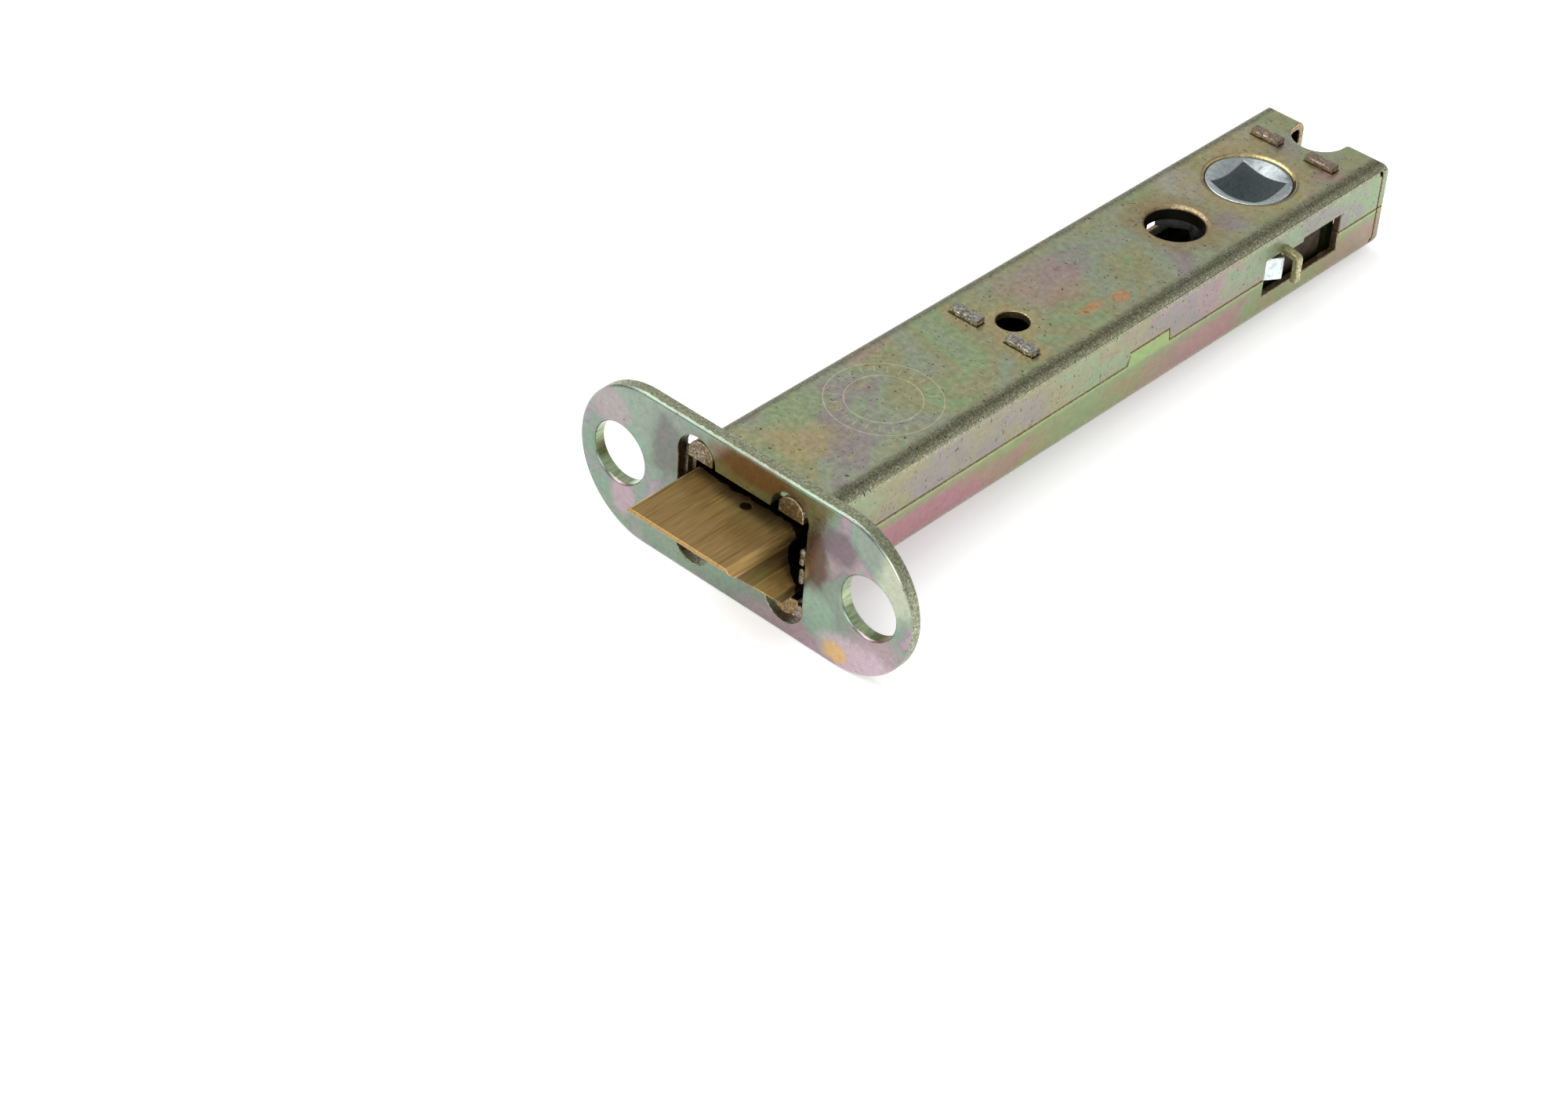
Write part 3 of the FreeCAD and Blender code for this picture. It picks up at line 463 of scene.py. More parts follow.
def plain_dial(tree, x, y, z):
    """two plain etched rings with ticks between them, on the case's top"""
    dy = calculate(tree, "SUBTRACT", y, DIAL_Y)
    distance = from_point(tree, x, y, DIAL_Y)
    rings = calculate(tree, "MAXIMUM", ring_line(tree, distance, OUTER_RING, RING_WIDTH),
                      ring_line(tree, distance, INNER_RING, RING_WIDTH))
    turn = both(tree, calculate(tree, "ARCTAN2", dy, x), TICKS / (2 * math.pi))
    beside = size_of(tree, centred(tree, calculate(tree, "FRACT", turn)))
    between = both(tree, fade(tree, distance, *TICKS_BEGIN), fade(tree, distance, *TICKS_END))
    tick = both(tree, fade(tree, beside, *TICK_SIDES), between)
    mark = calculate(tree, "MAXIMUM", rings, tick)
    return both(tree, mark, fade(tree, z, *TOP_FACE))


def bore_gap_shade(tree, x, y):
    """painted shade: a dark ring round the follower's bore, on the side of it that faces the
    forend
    """
    circle = ring_line(tree, from_point(tree, x, y, BACKSET), HUB_BORE + 0.1, 0.9)
    behind = calculate(tree, "SUBTRACT", calculate(tree, "SUBTRACT", y, BACKSET), x)
    return both(tree, circle, fade(tree, behind, 3.0, -3.0))


TOP_PATCHES = (
    ((-3.1, 63.8, 7.5), (5.0, 6.5, 3.0), ROSE, 0.45),
    ((5.3, 64.6, 7.5), (0.8, 2.4, 3.0), ORANGE, 0.75),
    ((6.4, 70.0, 7.5), (1.2, 1.7, 3.0), ORANGE, 0.75),
    ((5.1, 96.4, 7.5), (2.4, 3.0, 3.0), LILAC, 0.9),
    ((3.5, 17.0, 7.5), (3.0, 3.5, 3.0), LILAC, 0.5),
    ((-1.5, 13.0, 7.5), (5.0, 4.5, 3.0), TAN, 0.8),
    ((-7.0, 17.0, 7.5), (4.0, 5.5, 3.0), GREEN, 0.8),
    ((-9.7, 34.0, 7.5), (2.0, 5.0, 3.0), ROSE, 0.5),
    ((7.5, 117.5, 7.5), (2.6, 2.2, 3.0), ROSE, 0.6),
    ((-8.0, 114.0, 7.5), (3.4, 7.0, 3.0), RUBBED_TAN, 0.6),
    ((-6.0, 99.5, 7.5), (4.0, 4.5, 3.0), RUBBED_GREY, 0.6),
    ((0.0, FIXING_Y, 7.5), (7.0, 7.0, 3.0), BROWN, 0.75),
    ((0.0, BACKSET, 7.5), (9.8, 9.8, 3.0), TAN, 0.75),
    ((0.0, SMALL_HOLE_Y, 7.5), (4.2, 4.2, 3.0), TAN, 0.7),
    ((-5.0, 50.2, 7.5), (4.2, 2.6, 3.0), TAN, 0.8),
    ((5.0, 50.2, 7.5), (4.2, 2.6, 3.0), TAN, 0.8),
)

TOP_FILM = ((0.30, GREY_GREEN), (0.40, GREEN), (0.48, OLIVE), (0.58, GREY_GREEN),
            (0.66, LILAC), (0.72, OLIVE))
UPPER_WALL = ((0.02, PALE_GREEN), (0.14, PALE_TAN), (0.24, PALE_LILAC), (0.36, PALE_TAN),
              (0.46, PALE_GREEN), (0.56, PALE_TAN), (0.64, PALE_LILAC), (0.72, PALE_PINK),
              (0.80, PALE_GREEN), (0.90, PALE_LILAC), (0.97, PALE_GREEN))
LOWER_WALL = ((0.00, WALL_ROSE), (0.24, WALL_ROSE), (0.34, PALE_TAN), (0.44, PALE_GREEN),
              (0.52, PALE_TAN), (0.60, PALE_PINK), (0.70, WALL_ROSE), (0.76, PALE_GREEN),
              (0.86, PALE_TAN), (0.96, PALE_PINK))


def wall_film(tree, y, palette, wander, offset):
    """film colours that change along the case, with wandering borders"""
    field = noise(tree, place(tree, scale=(1, 1, 1.6), offset=offset), 0.11, detail=3.0,
                  roughness=0.55, distortion=0.8)
    drift = both(tree, centred(tree, field), wander)
    along = calculate(tree, "ADD", both(tree, y, 1 / CASE_END), drift)
    return ramp(tree, along, palette)


def upper_case_zinc():
    """the case's upper shell"""
    material, tree, shader = new_material("upper_case_zinc")
    x, y, z = split(tree)
    top = film(tree, TOP_FILM, 0.065, (3.0, 1.0, 2.0))
    top = add_patches(tree, top, TOP_PATCHES)
    wall = wall_film(tree, y, UPPER_WALL, 0.45, (1.0, 4.0, 2.0))
    side = fade(tree, size_of(tree, x), *SIDE_WALL)
    # the bends: grain with painted shade and a painted highlight
    colour = bend_grain_and_shade(tree, mix(tree, side, top, wall), x, z)
    colour, specks = add_specks(tree, colour, 1.55, 0.665, SPECK_AND_SHADE_DARK, (1.0, 1.7, 1.0))
    # painted shade of the gap round the follower's bore
    colour = mix(tree, both(tree, bore_gap_shade(tree, x, y), 0.9), colour, SPECK_AND_SHADE_DARK)
    colour = mix(tree, both(tree, plain_dial(tree, x, y, z), 0.75), colour, DIAL_LIGHT)
    finish_plating(tree, shader, colour, specks, roughness=0.36)
    return material


def lower_case_zinc():
    """the case's lower shell"""
    material, tree, shader = new_material("lower_case_zinc")
    x, y, z = split(tree)
    colour = wall_film(tree, y, LOWER_WALL, 0.36, (5.0, 2.0, 1.0))
    colour = mix(tree, both(tree, fade(tree, z, *SEAM_BELOW), 0.7), colour, PALE_GREEN)
    colour = mix(tree, both(tree, fade(tree, z, *SEAM_EDGE), 0.6), colour, SEAM_GREEN)
    # the bends: grain with painted shade and a painted highlight
    colour = bend_grain_and_shade(tree, tinted(tree, colour, LOWER_TINT), x, z)
    colour, specks = add_specks(tree, colour, 1.5, 0.70, BROWN)
    finish_plating(tree, shader, colour, specks, roughness=0.34)
    return material


FOREND_PATCHES = (
    ((0.0, 0, 3.5), (17.0, 3, 9.5), FOREND_SHADE, 0.5),
    ((-24.0, 0, -3.0), (7.0, 3, 9.0), FOREND_SEA, 0.6),
    ((-12.0, 0, -9.5), (8.0, 3, 3.0), FOREND_LEAF, 0.75),
    ((-21.5, 0, -6.5), (2.2, 3, 3.2), FOREND_PINK, 0.9),
    ((-24.0, 0, 7.0), (3.5, 3, 3.0), FOREND_PINK, 0.6),
    # painted shade left of the opening's lobes
    ((-13.0, 0, 6.0), (3.0, 3, 4.6), FOREND_LEFT_SHADE, 0.8),
    # painted reflections of the brass bolt, above the opening and right of it
    ((2.0, 0, 10.2), (8.5, 3, 1.9), FOREND_BOLT_REFLECTION, 0.9),
    ((13.4, 0, 3.0), (1.9, 3, 5.5), FOREND_FLANK_REFLECTION, 0.9),
    ((17.3, 0, 7.0), (3.0, 3, 2.6), FOREND_PLUM, 0.85),
    ((8.0, 0, -11.0), (7.0, 3, 1.6), FOREND_PINK, 0.8),
    ((24.5, 0, -6.5), (4.5, 3, 3.6), FOREND_PINK, 0.85),
    ((14.0, 0, -6.0), (3.4, 3, 3.6), FOREND_MINT, 0.8),
    ((22.0, 0, -9.5), (6.0, 3, 3.0), FOREND_PALE, 0.85),
    ((17.6, 0, -10.0), (2.0, 3, 1.5), FOREND_AMBER, 0.95),
    ((27.0, 0, 5.5), (3.2, 3, 5.0), FOREND_CREAM, 0.75),
)

FOREND_FILM = ((0.28, FOREND_PINK), (0.36, FOREND_GREEN), (0.46, FOREND_GREY),
               (0.54, FOREND_GREEN), (0.60, FOREND_LILAC), (0.66, FOREND_PINK),
               (0.74, FOREND_GREEN))


def forend_zinc():
    """the forend's faces: paler film with pink and green patches, painted shade and painted
    reflections of the bolt
    """
    material, tree, shader = new_material("forend_zinc")
    colour = film(tree, FOREND_FILM, 0.085, (5.0, 6.0, 4.0))
    colour = add_patches(tree, colour, FOREND_PATCHES)
    colour, specks = add_specks(tree, colour, 1.7, 0.70, SPECK_AND_SHADE_DARK)
    finish_plating(tree, shader, colour, specks, roughness=0.24, grain_direction=(0.2, 1, 1))
    return material


def torn_grit(tree):
    return noise(tree, place(tree), 2.8, detail=5.0, roughness=0.75)


def torn_colour(tree, grit, name):
    return ramp(tree, grit, tuple(zip(GRAIN_STOPS, GRAINS[name])))


def set_torn(tree, shader, colour, grit):
    """the surface of torn metal: rough, with smoother points"""
    rough = ramp(tree, grit, ((0.35, 0.55), (0.65, 0.25)))
    set_metal(tree, shader, colour, rough, grit, strength=0.5, depth_mm=0.12)


def granular_edge(name):
    """a sheared edge: torn metal with bright points"""
    material, tree, shader = new_material(name)
    grit = torn_grit(tree)
    set_torn(tree, shader, torn_colour(tree, grit, name), grit)
    return material


def bright_film(name, colour, roughness):
    """a drawn or pierced wall, smoother and brighter than the sheet"""
    material, tree, shader = new_material(name)
    streak = noise(tree, place(tree, scale=(1, 0.15, 1)), 2.5, detail=3.0)
    dim = tuple(c * 0.6 for c in colour)
    streaked = ramp(tree, streak, ((0.32, dim), (0.62, colour)))
    set_metal(tree, shader, streaked, roughness, streak, strength=0.25, depth_mm=0.05)
    return material


def brushed_brass(name, level):
    """the bolt: brass brushed along its length, with dark streaks, a casting pit and painted shade
    on the shank behind the nose
    """
    material, tree, shader = new_material(name)
    _, y, _ = split(tree)
    fine = noise(tree, place(tree, scale=(1, 0.03, 1)), 9.0, detail=3.0, roughness=0.6)
    streaks = noise(tree, place(tree, scale=(1, 0.03, 0.6)), 2.2, detail=6.0, roughness=0.7)
    colour = ramp(tree, streaks, levelled(BRASS_TONES, level))
    colour = tinted(tree, colour, ramp(tree, fine, ((0.3, 0.80), (0.7, 1.16))))
    shade = patch(tree, (6.0, -3.0, 4.5), (5.0, 4.0, 3.0), ragged=0.6)
    colour = mix(tree, both(tree, shade, 0.5), colour, BRASS_SHADE)
    # painted shade: the shank behind the nose is near-black where it runs into the dark opening
    drift = centred(tree, noise(tree, place(tree), 0.35, detail=3.0))
    back = calculate(tree, "ADD", y, both(tree, drift, 2.6))
    shank = fade(tree, back, SHANK_Y - 0.12, SHANK_Y + 0.12)
    colour = mix(tree, both(tree, shank, 0.97), colour, SHANK_SHADE)
    pit = patch(tree, (1.4, -0.6, 5.0), (0.85, 0.75, 1.5), ragged=0.25, soft=0.2, grain=1.5)
    colour = mix(tree, pit, colour, BRASS_PIT)
    rough = ramp(tree, fine, ((0.3, 0.32), (0.7, 0.46)))
    height = calculate(tree, "SUBTRACT", both(tree, fine, 0.3), both(tree, pit, 2.0))
    set_metal(tree, shader, colour, rough, height, strength=0.3, depth_mm=0.08)
    return material


def cast_zinc(name, level, front_light=1.0):
    """mottled zinc, as bright as its level, and lighter on the forend's side: the level and the
    lift are painted light and shade
    """
    material, tree, shader = new_material(name)
    mottle = noise(tree, place(tree), 1.3, detail=5.0, roughness=0.72)
    colour = ramp(tree, mottle, levelled(CAST_TONES, level))
    _, y, _ = split(tree)
    forward = fade(tree, y, BACKSET + HUB_BORE, BACKSET - HUB_BORE)
    colour = tinted(tree, colour, ramp(tree, forward, ((0.0, 1.0), (1.0, front_light))))
    rough = ramp(tree, mottle, ((0.3, 0.50), (0.7, 0.34)))
    set_metal(tree, shader, colour, rough, mottle, strength=0.35, depth_mm=0.06)
    return material


def rear_plate_zinc():
    """the rear plate: green film inside the case, bare brown metal on its staked tabs"""
    material, tree, shader = new_material("rear_plate_zinc")
    _, _, z = split(tree)
    outside = fade(tree, size_of(tree, z), *REAR_TABS)
    grit = torn_grit(tree)
    plated = ramp(tree, grit, REAR_GREENS)
    bare = torn_colour(tree, grit, "brown_stake")
    set_torn(tree, shader, mix(tree, outside, plated, bare), grit)
    return material


def plain_steel(name, colour, roughness):
    """drawn steel for the works inside the case"""
    material, tree, shader = new_material(name)
    mottle = noise(tree, place(tree), 0.9, detail=5.0, roughness=0.65)
    dark = tuple(c * 0.6 for c in colour)
    light = tuple(min(1.0, c * 1.25) for c in colour)
    mottled = ramp(tree, mottle, ((0.35, dark), (0.65, light)))
    rough = ramp(tree, mottle, ((0.3, roughness + 0.08), (0.7, roughness - 0.06)))
    set_metal(tree, shader, mottled, rough, mottle, strength=0.2, depth_mm=0.05)
    return material


upper_zinc = upper_case_zinc()
lower_zinc = lower_case_zinc()
forend_face = forend_zinc()
forend_rim = granular_edge("forend_rim")
forend_bore = bright_film("forend_bore", STRAW, roughness=0.30)
opening_wall = granular_edge("opening_wall")
cut_edge = granular_edge("case_cut_edge")
lower_tab = granular_edge("lower_tab")
front_tab = granular_edge("front_tab")
lug_zinc = granular_edge("lug_zinc")
# painted shade: the case's inside, the shaded part of the fixing hole and the near side of the
# bore's rim in near-black
inside_shade_zinc = plain_steel("inside_shade_zinc", INSIDE_SHADE, roughness=0.6)
# painted highlight on the far side of the follower's bore rim
rim_highlight = bright_film("drawn_rim_highlight", RIM_HIGHLIGHT_GOLD, roughness=0.30)
brass = brushed_brass("brushed_brass", level=1.0)
# painted highlight: a lighter copy of the brass for the bolt's rounded long edges
brass_highlight = brushed_brass("brass_highlight", level=1.9)
# lit and shaded copies of the follower's cast zinc: painted brightness levels, with painted light
# on the forend's side of the ring and the dish
ring_zinc = cast_zinc("ring_zinc", level=0.30, front_light=2.6)
dish_zinc = cast_zinc("dish_zinc", level=0.36, front_light=1.9)
socket_zinc = cast_zinc("socket_zinc", level=0.58)
arm_zinc = cast_zinc("arm_zinc", level=0.92)
# painted shade: the works inside the case in near-black brown
works_shade_steel = plain_steel("works_steel", WORKS_SHADE, roughness=0.5)
spring_steel = plain_steel("spring_steel", SPRING_GREY, roughness=0.30)
grey_stake = granular_edge("grey_stake")
bead_metal = granular_edge("bead_metal")
brown_stake = granular_edge("brown_stake")
rear_zinc = rear_plate_zinc()


# Pieces

def link(piece):
    bpy.context.scene.collection.objects.link(piece)
    return piece


def ease_edges(shape, sharp_slot):
    """the bevel's weights: 1 on sharp edges that point outward, but not inside sharp_slot"""
    share = shape.edges.layers.float.new("bevel_weight_edge")
    for line in shape.edges:
        if len(line.link_faces) == 2 and line.is_convex and line.calc_face_angle() > ROUNDED_ANGLE:
            plain = all(face.material_index == sharp_slot for face in line.link_faces)
            line[share] = 0.0 if plain else 1.0


def eased_copy(node, body, width, pick_material, slots, edge_slot=-1, sharp_slot=-1):
    """a copy of a CAD node with its sharp outward edges rounded, which stands for the node.

    pick_material gives a face's place in slots from its centre and normal, in millimetres;
    edge_slot is the place of the rounded edges' material, or -1 for that of the faces;
    edges between two faces with the material in sharp_slot stay sharp."""
    mesh = nodes[node].data.copy()
    mesh.name = node + "_eased"
    mesh.materials.clear()
    for material in slots:
        mesh.materials.append(material)
    shape = bmesh.new()
    shape.from_mesh(mesh)
    bmesh.ops.remove_doubles(shape, verts=shape.verts, dist=WELD_DISTANCE)
    bmesh.ops.dissolve_limit(shape, angle_limit=FLAT_ANGLE, verts=shape.verts,
                             edges=shape.edges, delimit={"NORMAL"})
    shape.normal_update()
    for face in shape.faces:
        face.smooth = True
        face.material_index = pick_material(face.calc_center_median() / MM, face.normal)
    ease_edges(shape, sharp_slot)
    shape.to_mesh(mesh)
    shape.free()
    mesh.set_sharp_from_angle(angle=BROKEN_ANGLE)
    piece = link(bpy.data.objects.new(node + "_eased", mesh))
    edge = piece.modifiers.new("eased_edges", "BEVEL")
    edge.width = width * MM
    edge.segments = 2
    edge.limit_method = "WEIGHT"
    edge.use_clamp_overlap = False
    edge.material = edge_slot
    flats = piece.modifiers.new("flat_faces", "WEIGHTED_NORMAL")
    flats.keep_sharp = True
    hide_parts(node)
    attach(piece, body)


def near(value, target, slack=FLAT_SLACK):
    return abs(value - target) < slack


def sheet_side(across, height, wall):
    """outside, inside or edge, for a point of a bent sheet whose walls meet in a rounded corner"""
    bend_across = wall - BEND
    bend_height = CASE_HALF_HEIGHT - BEND
    if across > bend_across and height > bend_height:
        reach = math.hypot(across - bend_across, height - bend_height)
        outer = near(reach, BEND, ROUND_SLACK)
        inner = near(reach, BEND - SHEET, ROUND_SLACK)
    else:
        outer = near(across, wall) or near(height, CASE_HALF_HEIGHT)
        inner = near(across, wall - SHEET) or near(height, CASE_HALF_HEIGHT - SHEET)
    if outer:
        return "outside"
    return "inside" if inner else "edge"


# the places of the materials in each piece's slots
OUTSIDE, INSIDE, CUT, RIM, FRONT_TAB, LUG = range(6)
FACE, EDGE, SCREW_HOLE, OPENING = range(4)
FLAT, ROUNDED = range(2)
RING, SOCKET, ARM, DISH = range(4)


def shell_side(centre, normal):
    """outside, inside, cut edge, rim of the bore, front tab or lug; the bore's rim has a painted
    highlight on its far side and painted shade on its near side
    """
    height = abs(centre.z)
    tilt = abs(normal.z)
    from_hub = math.hypot(centre.x, centre.y - BACKSET)
    on_rim = HUB_BORE - HUB_SLACK < from_hub < HUB_BORE + HUB_RIM and height > HUB_RIM_FROM_Z
    if on_rim and tilt > 2 * UPRIGHT:
        if tilt > LEVEL:
            return OUTSIDE
        # painted highlight on the far side of the bore's rim, and the inside's painted shade on
        # the side that faces the forend
        return RIM if centre.y - BACKSET > centre.x else INSIDE
    if centre.y < FRONT_TAB_END:
        return FRONT_TAB
    if abs(centre.x) > CASE_HALF_WIDTH + LUG_SLACK:
        return LUG
    if math.hypot(centre.x, centre.y - FIXING_Y) < FIXING_REACH and height < FIXING_TO_Z:
        return INSIDE
    along = centre.y - (CASE_END - CASE_HALF_WIDTH)
    sides = (sheet_side(abs(centre.x), height, CASE_HALF_WIDTH),
             sheet_side(along, height, CASE_HALF_WIDTH))
    if "outside" in sides:
        return OUTSIDE
    return INSIDE if "inside" in sides else CUT


def forend_side(centre, normal):
    """face, outer edge, screw hole or opening"""
    if abs(normal.y) > 0.5:
        return FACE
    across, height = abs(centre.x), abs(centre.z)
    if across > SCREWS_FROM and math.hypot(across - SCREW_X, height) < SCREW_REACH:
        return SCREW_HOLE
    end_x = FOREND_HALF_LENGTH - FOREND_HALF_HEIGHT
    outer = height > EDGE_FROM or math.hypot(across - end_x, height) > EDGE_FROM
    return EDGE if outer and height + across > EDGE_FROM else OPENING


def bolt_side(_, normal):
    """flat, or the rounding of a long edge, which takes the painted highlight"""
    leaning = min(abs(normal.x), abs(normal.z)) > LEANING
    return ROUNDED if leaning and abs(normal.y) < LEANING else FLAT


def follower_side(centre, normal):
    """ring, socket, arm or the dished face round the socket"""
    from_axis = math.hypot(centre.x, centre.y - BACKSET)
    if abs(centre.z) < ARM_HALF_HEIGHT and from_axis > ARMS_FROM:
        return ARM
    if UPRIGHT < abs(normal.z) < LEVEL and from_axis < DISH_RADIUS:
        return DISH
    return SOCKET if max(abs(centre.x), abs(centre.y - BACKSET)) < SOCKET_HALF else RING


def lumpy_head(name, body, centre, half, material, seed, rough, pinch=0.0, squareness=5.0):
    """metal upset by a punch: a rounded lump with a pinched middle; half axes in millimetres"""
    shape = bmesh.new()
    bmesh.ops.create_cube(shape, size=2.0)
    bmesh.ops.subdivide_edges(shape, edges=shape.edges[:], cuts=HEAD_CUTS, use_grid_fill=True)
    for vertex in shape.verts:
        spot_at = vertex.co.copy()
        size = sum(abs(c) ** squareness for c in spot_at) ** (1 / squareness)
        spot_at /= size
        waist = 1 - pinch * math.exp(-(spot_at.x / PINCH_WIDTH) ** 2)
        place_mm = Vector((spot_at.x * half[0], spot_at.y * half[1] * waist,
                           spot_at.z * half[2] * waist))
        swell = lumps.noise(place_mm * LUMP_SCALE + Vector((seed, seed * 3, 0)))
        place_mm += spot_at.normalized() * swell * rough * 2
        vertex.co = (place_mm + Vector(centre)) * MM
    mesh = bpy.data.meshes.new(name)
    shape.to_mesh(mesh)
    shape.free()
    mesh.shade_smooth()
    mesh.materials.append(material)
    piece = link(bpy.data.objects.new(name, mesh))
    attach(piece, body)


def make_staked_heads():
    """the cross plates' tabs, spread over the case by a punch"""
    plates = (("mid", "spring_plate", grey_stake, 0.55, 0.14),
              ("rear", "rear_plate", brown_stake, 0.15, 0.10))
    for place_name, plate, material, pinch, rough in plates:
        low, high = (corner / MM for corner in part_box(plate))
        middle_y = (low.y + high.y) / 2
        for i, (side, sign) in enumerate(((-1, 1), (1, 1), (-1, -1), (1, -1))):
            lumpy_head("staked_%s_%d" % (place_name, i + 1), "case",
                       (side * HEAD_X, middle_y, sign * HEAD_Z), HEAD_HALF, material,
                       seed=7.3 * i + middle_y, rough=rough, pinch=pinch,
                       squareness=HEAD_SQUARENESS)


def make_opening_beads():
    """the side walls' tabs, upset into beads inside the forend's opening"""
    for name, side in (("right", 1), ("left", -1)):
        for i, (x, z, size) in enumerate(BEADS):
            lumpy_head("opening_bead_%s_%d" % (name, i + 1), "case",
                       (side * x, BEAD_Y, z), (size, size * 0.6, size * 1.4), bead_metal,
                       seed=3.1 * i + side, rough=0.08, squareness=BEAD_SQUARENESS)


def make_opening_ridges():
    """upset metal between the case's walls and the sides of the forend's opening; the ridges carry
    the opening walls' painted shade
    """
    kinds = (("opening_ridge_", RIDGE_PLACE, RIDGE_HALF, opening_wall, 5.7, 0.05),
             ("lobe_burr_", BURR_PLACE, BURR_HALF, brown_stake, 8.9, 0.10))
    for name, side in (("right", 1), ("left", -1)):
        for kind, (x, y, z), half, material, seed, rough in kinds:
            lumpy_head(kind + name, "case", (side * x, y, z), half, material,
                       seed=seed * side, rough=rough)


def coil_place(start, turn, turns, closed, length):
    """where a turn lies on a coil with a closed turn at each end and open ones between"""
    opened = min(max(turn - 1, 0), turns) / turns
    rise = closed * (min(turn, 1) + max(turn - turns - 1, 0))
    return start + rise + (length - 2 * closed) * opened


def wire_mesh(name, rings):
    """a closed tube through rings of points in millimetres"""
    shape = bmesh.new()
    rings = [[shape.verts.new(corner * MM) for corner in ring] for ring in rings]
    for before, after in zip(rings, rings[1:]):
        for k in range(WIRE_SIDES):
            beyond = (k + 1) % WIRE_SIDES
            shape.faces.new((before[k], before[beyond], after[beyond], after[k]))
    shape.faces.new(rings[0][::-1])
    shape.faces.new(rings[-1])
    bmesh.ops.recalc_face_normals(shape, faces=shape.faces)
    mesh = bpy.data.meshes.new(name)
    shape.to_mesh(mesh)
    shape.free()
    mesh.shade_smooth()
    mesh.materials.append(spring_steel)
    return mesh


def make_coil(node, body, joint, fixed_y, turns, wire, keep):
    """a round-wire spring in its CAD solid's place"""
    low, high = (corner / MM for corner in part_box(node))
    centre_x, centre_z = (low.x + high.x) / 2, (low.z + high.z) / 2
    mean = (high.x - low.x) / 2 - wire / 2
    length = high.y - low.y - wire
    rings = []
    for i in range(COIL_STEPS * (turns + 2) + 1):
        turn = i / COIL_STEPS
        y = coil_place(low.y + wire / 2, turn, turns, wire * CLOSED_PITCH, length)
        angle = 2 * math.pi * turn
        outward = Vector((math.cos(angle), 0, math.sin(angle)))
        middle = Vector((centre_x, y, centre_z)) + outward * mean
        ring = []
        for k in range(WIRE_SIDES):
            around = 2 * math.pi * k / WIRE_SIDES
            offset = outward * math.cos(around) + Vector((0, math.sin(around), 0))
            ring.append(middle + offset * (wire / 2))
        rings.append(ring)
    mesh = wire_mesh(node + "_round", rings)
    piece = link(bpy.data.objects.new(node + "_round", mesh))
    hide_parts(node)
    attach(piece, body)
    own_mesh(piece)


def paint(node, material):
    mesh = nodes[node].data
    mesh.materials.clear()
    mesh.materials.append(material)


def make_forend_and_shells():
    """the forend plate and the case's two shells"""
    eased_copy("forend_plate", "case", 0.12, forend_side,
               (forend_face, forend_rim, forend_bore, opening_wall))
    for node, outside, tab in (("upper_shell", upper_zinc, front_tab),
                               ("lower_shell", lower_zinc, lower_tab)):
        eased_copy(node, "case", 0.15, shell_side,
                   (outside, inside_shade_zinc, cut_edge, rim_highlight, tab, lug_zinc),
                   edge_slot=CUT, sharp_slot=INSIDE)


def make_bolt_and_follower():
    """the two parts that a user sees move"""
    eased_copy("latch_bolt", "bolt", 0.10, bolt_side, (brass, brass_highlight))
    eased_copy("follower", "follower", 0.12, follower_side,
               (ring_zinc, socket_zinc, arm_zinc, dish_zinc))


def paint_works():
    """the cross plates, the draw frame and the guide rods, which keep their CAD shapes; the draw
    frame and the rods are near-black as painted shade
    """
    paint("spring_plate", grey_stake)
    paint("rear_plate", rear_zinc)
    for node in ("draw_bar_right", "draw_bar_left", "draw_bridge", "spring_guide_right",
                 "spring_guide_left"):
        paint(node, works_shade_steel)


def make_springs():
    """two return springs between the case and the draw frame, and the bolt's own spring"""
    for node in ("return_spring_right", "return_spring_left"):
        make_coil(node, "case", "draw_slide", SPRING_PLATE_Y, **RETURN_SPRING)
    make_coil("bolt_spring", "draw_frame", "bolt_slide", BRIDGE_Y, **BOLT_SPRING)


make_forend_and_shells()
make_bolt_and_follower()
paint_works()
make_staked_heads()
make_opening_beads()
make_opening_ridges()
make_springs()


# Floor, light and camera

def floor_white():
    """a matt table top that the camera and reflections see as white, with its shadow"""
    material, tree, shader = new_material("floor_white")
    shader.inputs["Base Color"].default_value = FLOOR_COLOUR
    shader.inputs["Roughness"].default_value = 0.9
    shader.inputs["Specular IOR Level"].default_value = 0.0
    path = add(tree, "ShaderNodeLightPath")
    seen = calculate(tree, "MAXIMUM", path.outputs["Is Camera Ray"], path.outputs["Is Glossy Ray"])
    glow = add(tree, "ShaderNodeEmission", Strength=FLOOR_GLOW)
    lit = add(tree, "ShaderNodeAddShader")
    tree.links.new(shader.outputs["BSDF"], lit.inputs[0])
    tree.links.new(glow.outputs["Emission"], lit.inputs[1])
    choice = add(tree, "ShaderNodeMixShader")
    tree.links.new(seen, choice.inputs["Fac"])
    tree.links.new(shader.outputs["BSDF"], choice.inputs[1])
    tree.links.new(lit.outputs["Shader"], choice.inputs[2])
    tree.links.new(choice.outputs["Shader"], tree.nodes["Material Output"].inputs["Surface"])
    return material


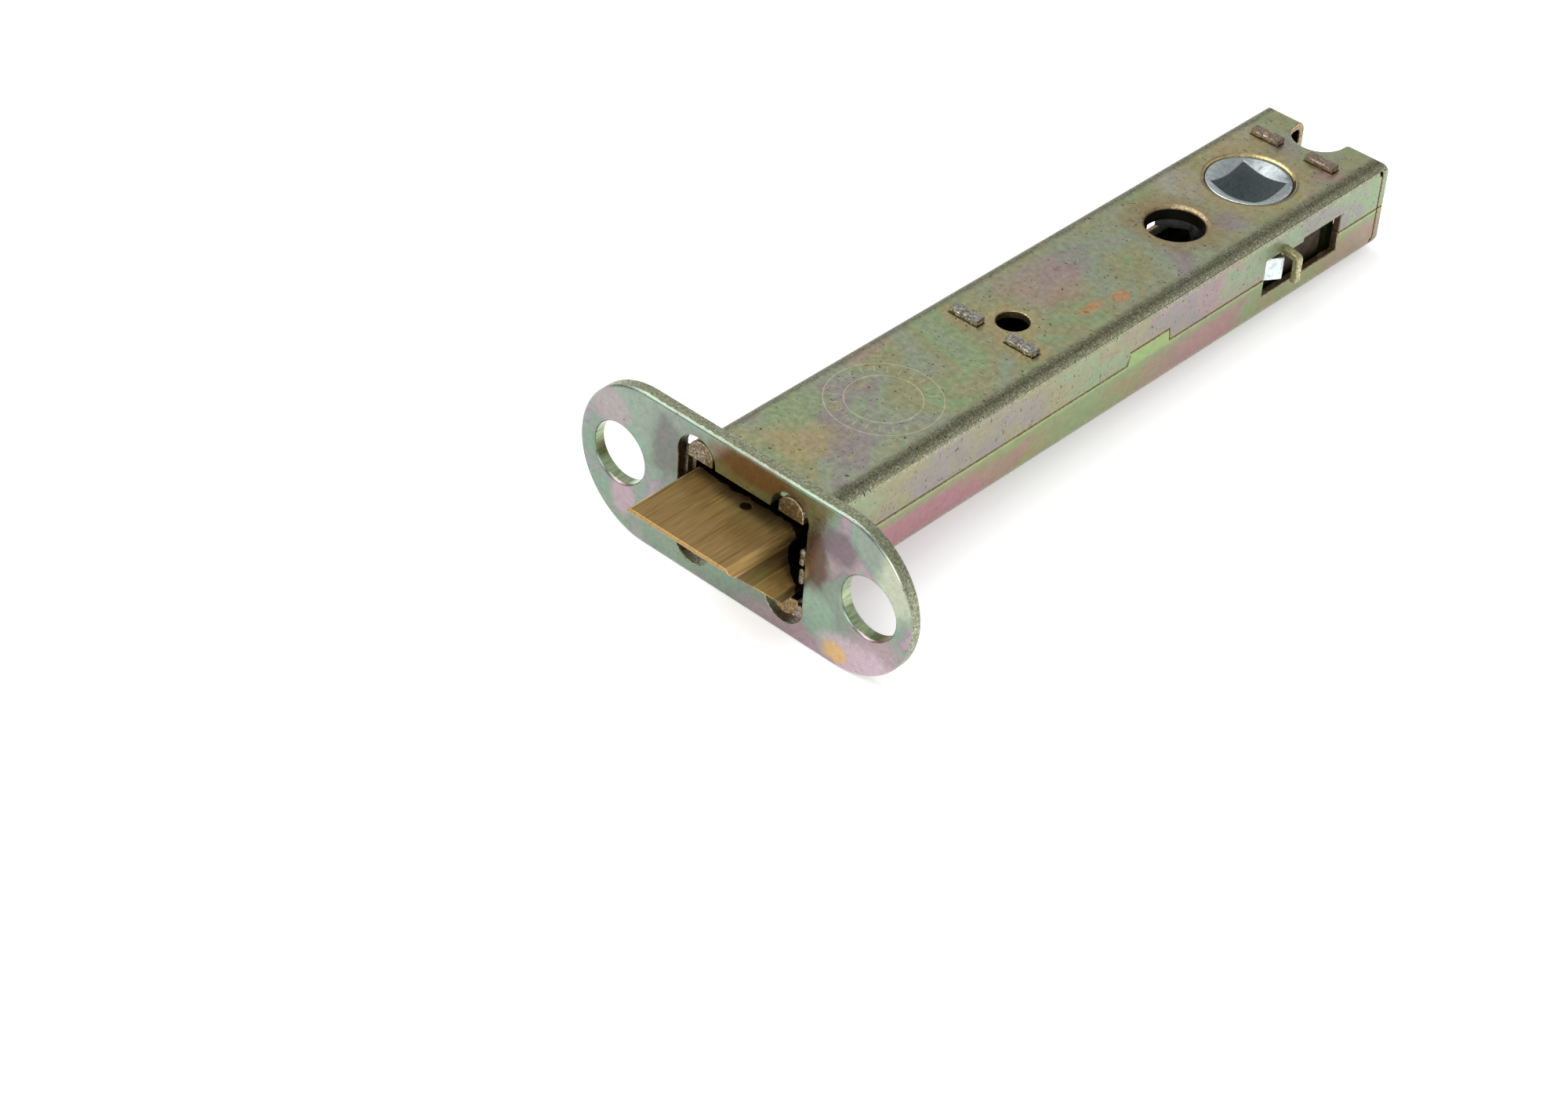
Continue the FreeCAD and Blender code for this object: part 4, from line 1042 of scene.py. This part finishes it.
def make_floor():
    """a pale table under the forend's lower edge and the case's rear tabs"""
    slope = math.atan2(REST_REAR_Z - REST_FRONT_Z, REST_REAR_Y)
    along = Vector((0, math.cos(slope), math.sin(slope)))
    start = Vector((0, 0, REST_FRONT_Z - FLOOR_GAP))
    corners = [start + Vector((sx * FLOOR_HALF, 0, 0)) + along * (sy * FLOOR_HALF)
               for sx, sy in ((-1, -1), (1, -1), (1, 1), (-1, 1))]
    mesh = bpy.data.meshes.new("floor")
    mesh.from_pydata([tuple(c) for c in corners], [], [(0, 1, 2, 3)])
    mesh.materials.append(floor_white())
    floor = link(bpy.data.objects.new("floor", mesh))


def make_world():
    """a white studio: plain soft light, and white behind everything"""
    world = bpy.data.worlds.new("studio")
    bpy.context.scene.world = world
    world.use_nodes = True
    tree = world.node_tree
    light = tree.nodes["Background"]
    white = add(tree, "ShaderNodeBackground")
    for background, strength in ((light, WORLD_STRENGTH), (white, 1.0)):
        background.inputs["Color"].default_value = WHITE
        background.inputs["Strength"].default_value = strength
    path = add(tree, "ShaderNodeLightPath")
    choice = add(tree, "ShaderNodeMixShader")
    tree.links.new(path.outputs["Is Camera Ray"], choice.inputs["Fac"])
    tree.links.new(light.outputs["Background"], choice.inputs[1])
    tree.links.new(white.outputs["Background"], choice.inputs[2])
    tree.links.new(choice.outputs["Shader"], tree.nodes["World Output"].inputs["Surface"])


def softbox(name, place_mm, side_mm, watts):
    """a square area light that faces the latch"""
    light = bpy.data.lights.new(name, "AREA")
    light.shape = "RECTANGLE"
    light.size = side_mm * MM
    light.size_y = side_mm * MM
    light.energy = watts
    lamp = link(bpy.data.objects.new(name, light))
    lamp.location = Vector(place_mm) * MM
    aim = Vector(LIGHT_AIM) * MM - lamp.location
    lamp.rotation_euler = aim.to_track_quat("-Z", "Y").to_euler()


def make_camera():
    data = bpy.data.cameras.new("camera")
    data.sensor_fit = "HORIZONTAL"
    data.sensor_width = SENSOR_WIDTH
    data.lens = FOCAL_LENGTH
    data.clip_start = CLIP_START
    data.clip_end = CLIP_END
    camera = link(bpy.data.objects.new("camera", data))
    up = -CAMERA_DOWN.normalized()
    right = CAMERA_RIGHT.normalized()
    back = right.cross(up).normalized()
    turn = Matrix((right, up, back)).transposed().to_4x4()
    camera.matrix_world = Matrix.Translation(CAMERA_PLACE) @ turn
    bpy.context.scene.camera = camera


make_floor()
make_world()
softbox("key", place_mm=(-600, -300, 1100), side_mm=1400, watts=19.0)
softbox("fill", place_mm=(800, -1000, 700), side_mm=1000, watts=8.0)
make_camera()
bpy.context.scene.view_settings.view_transform = "Standard"
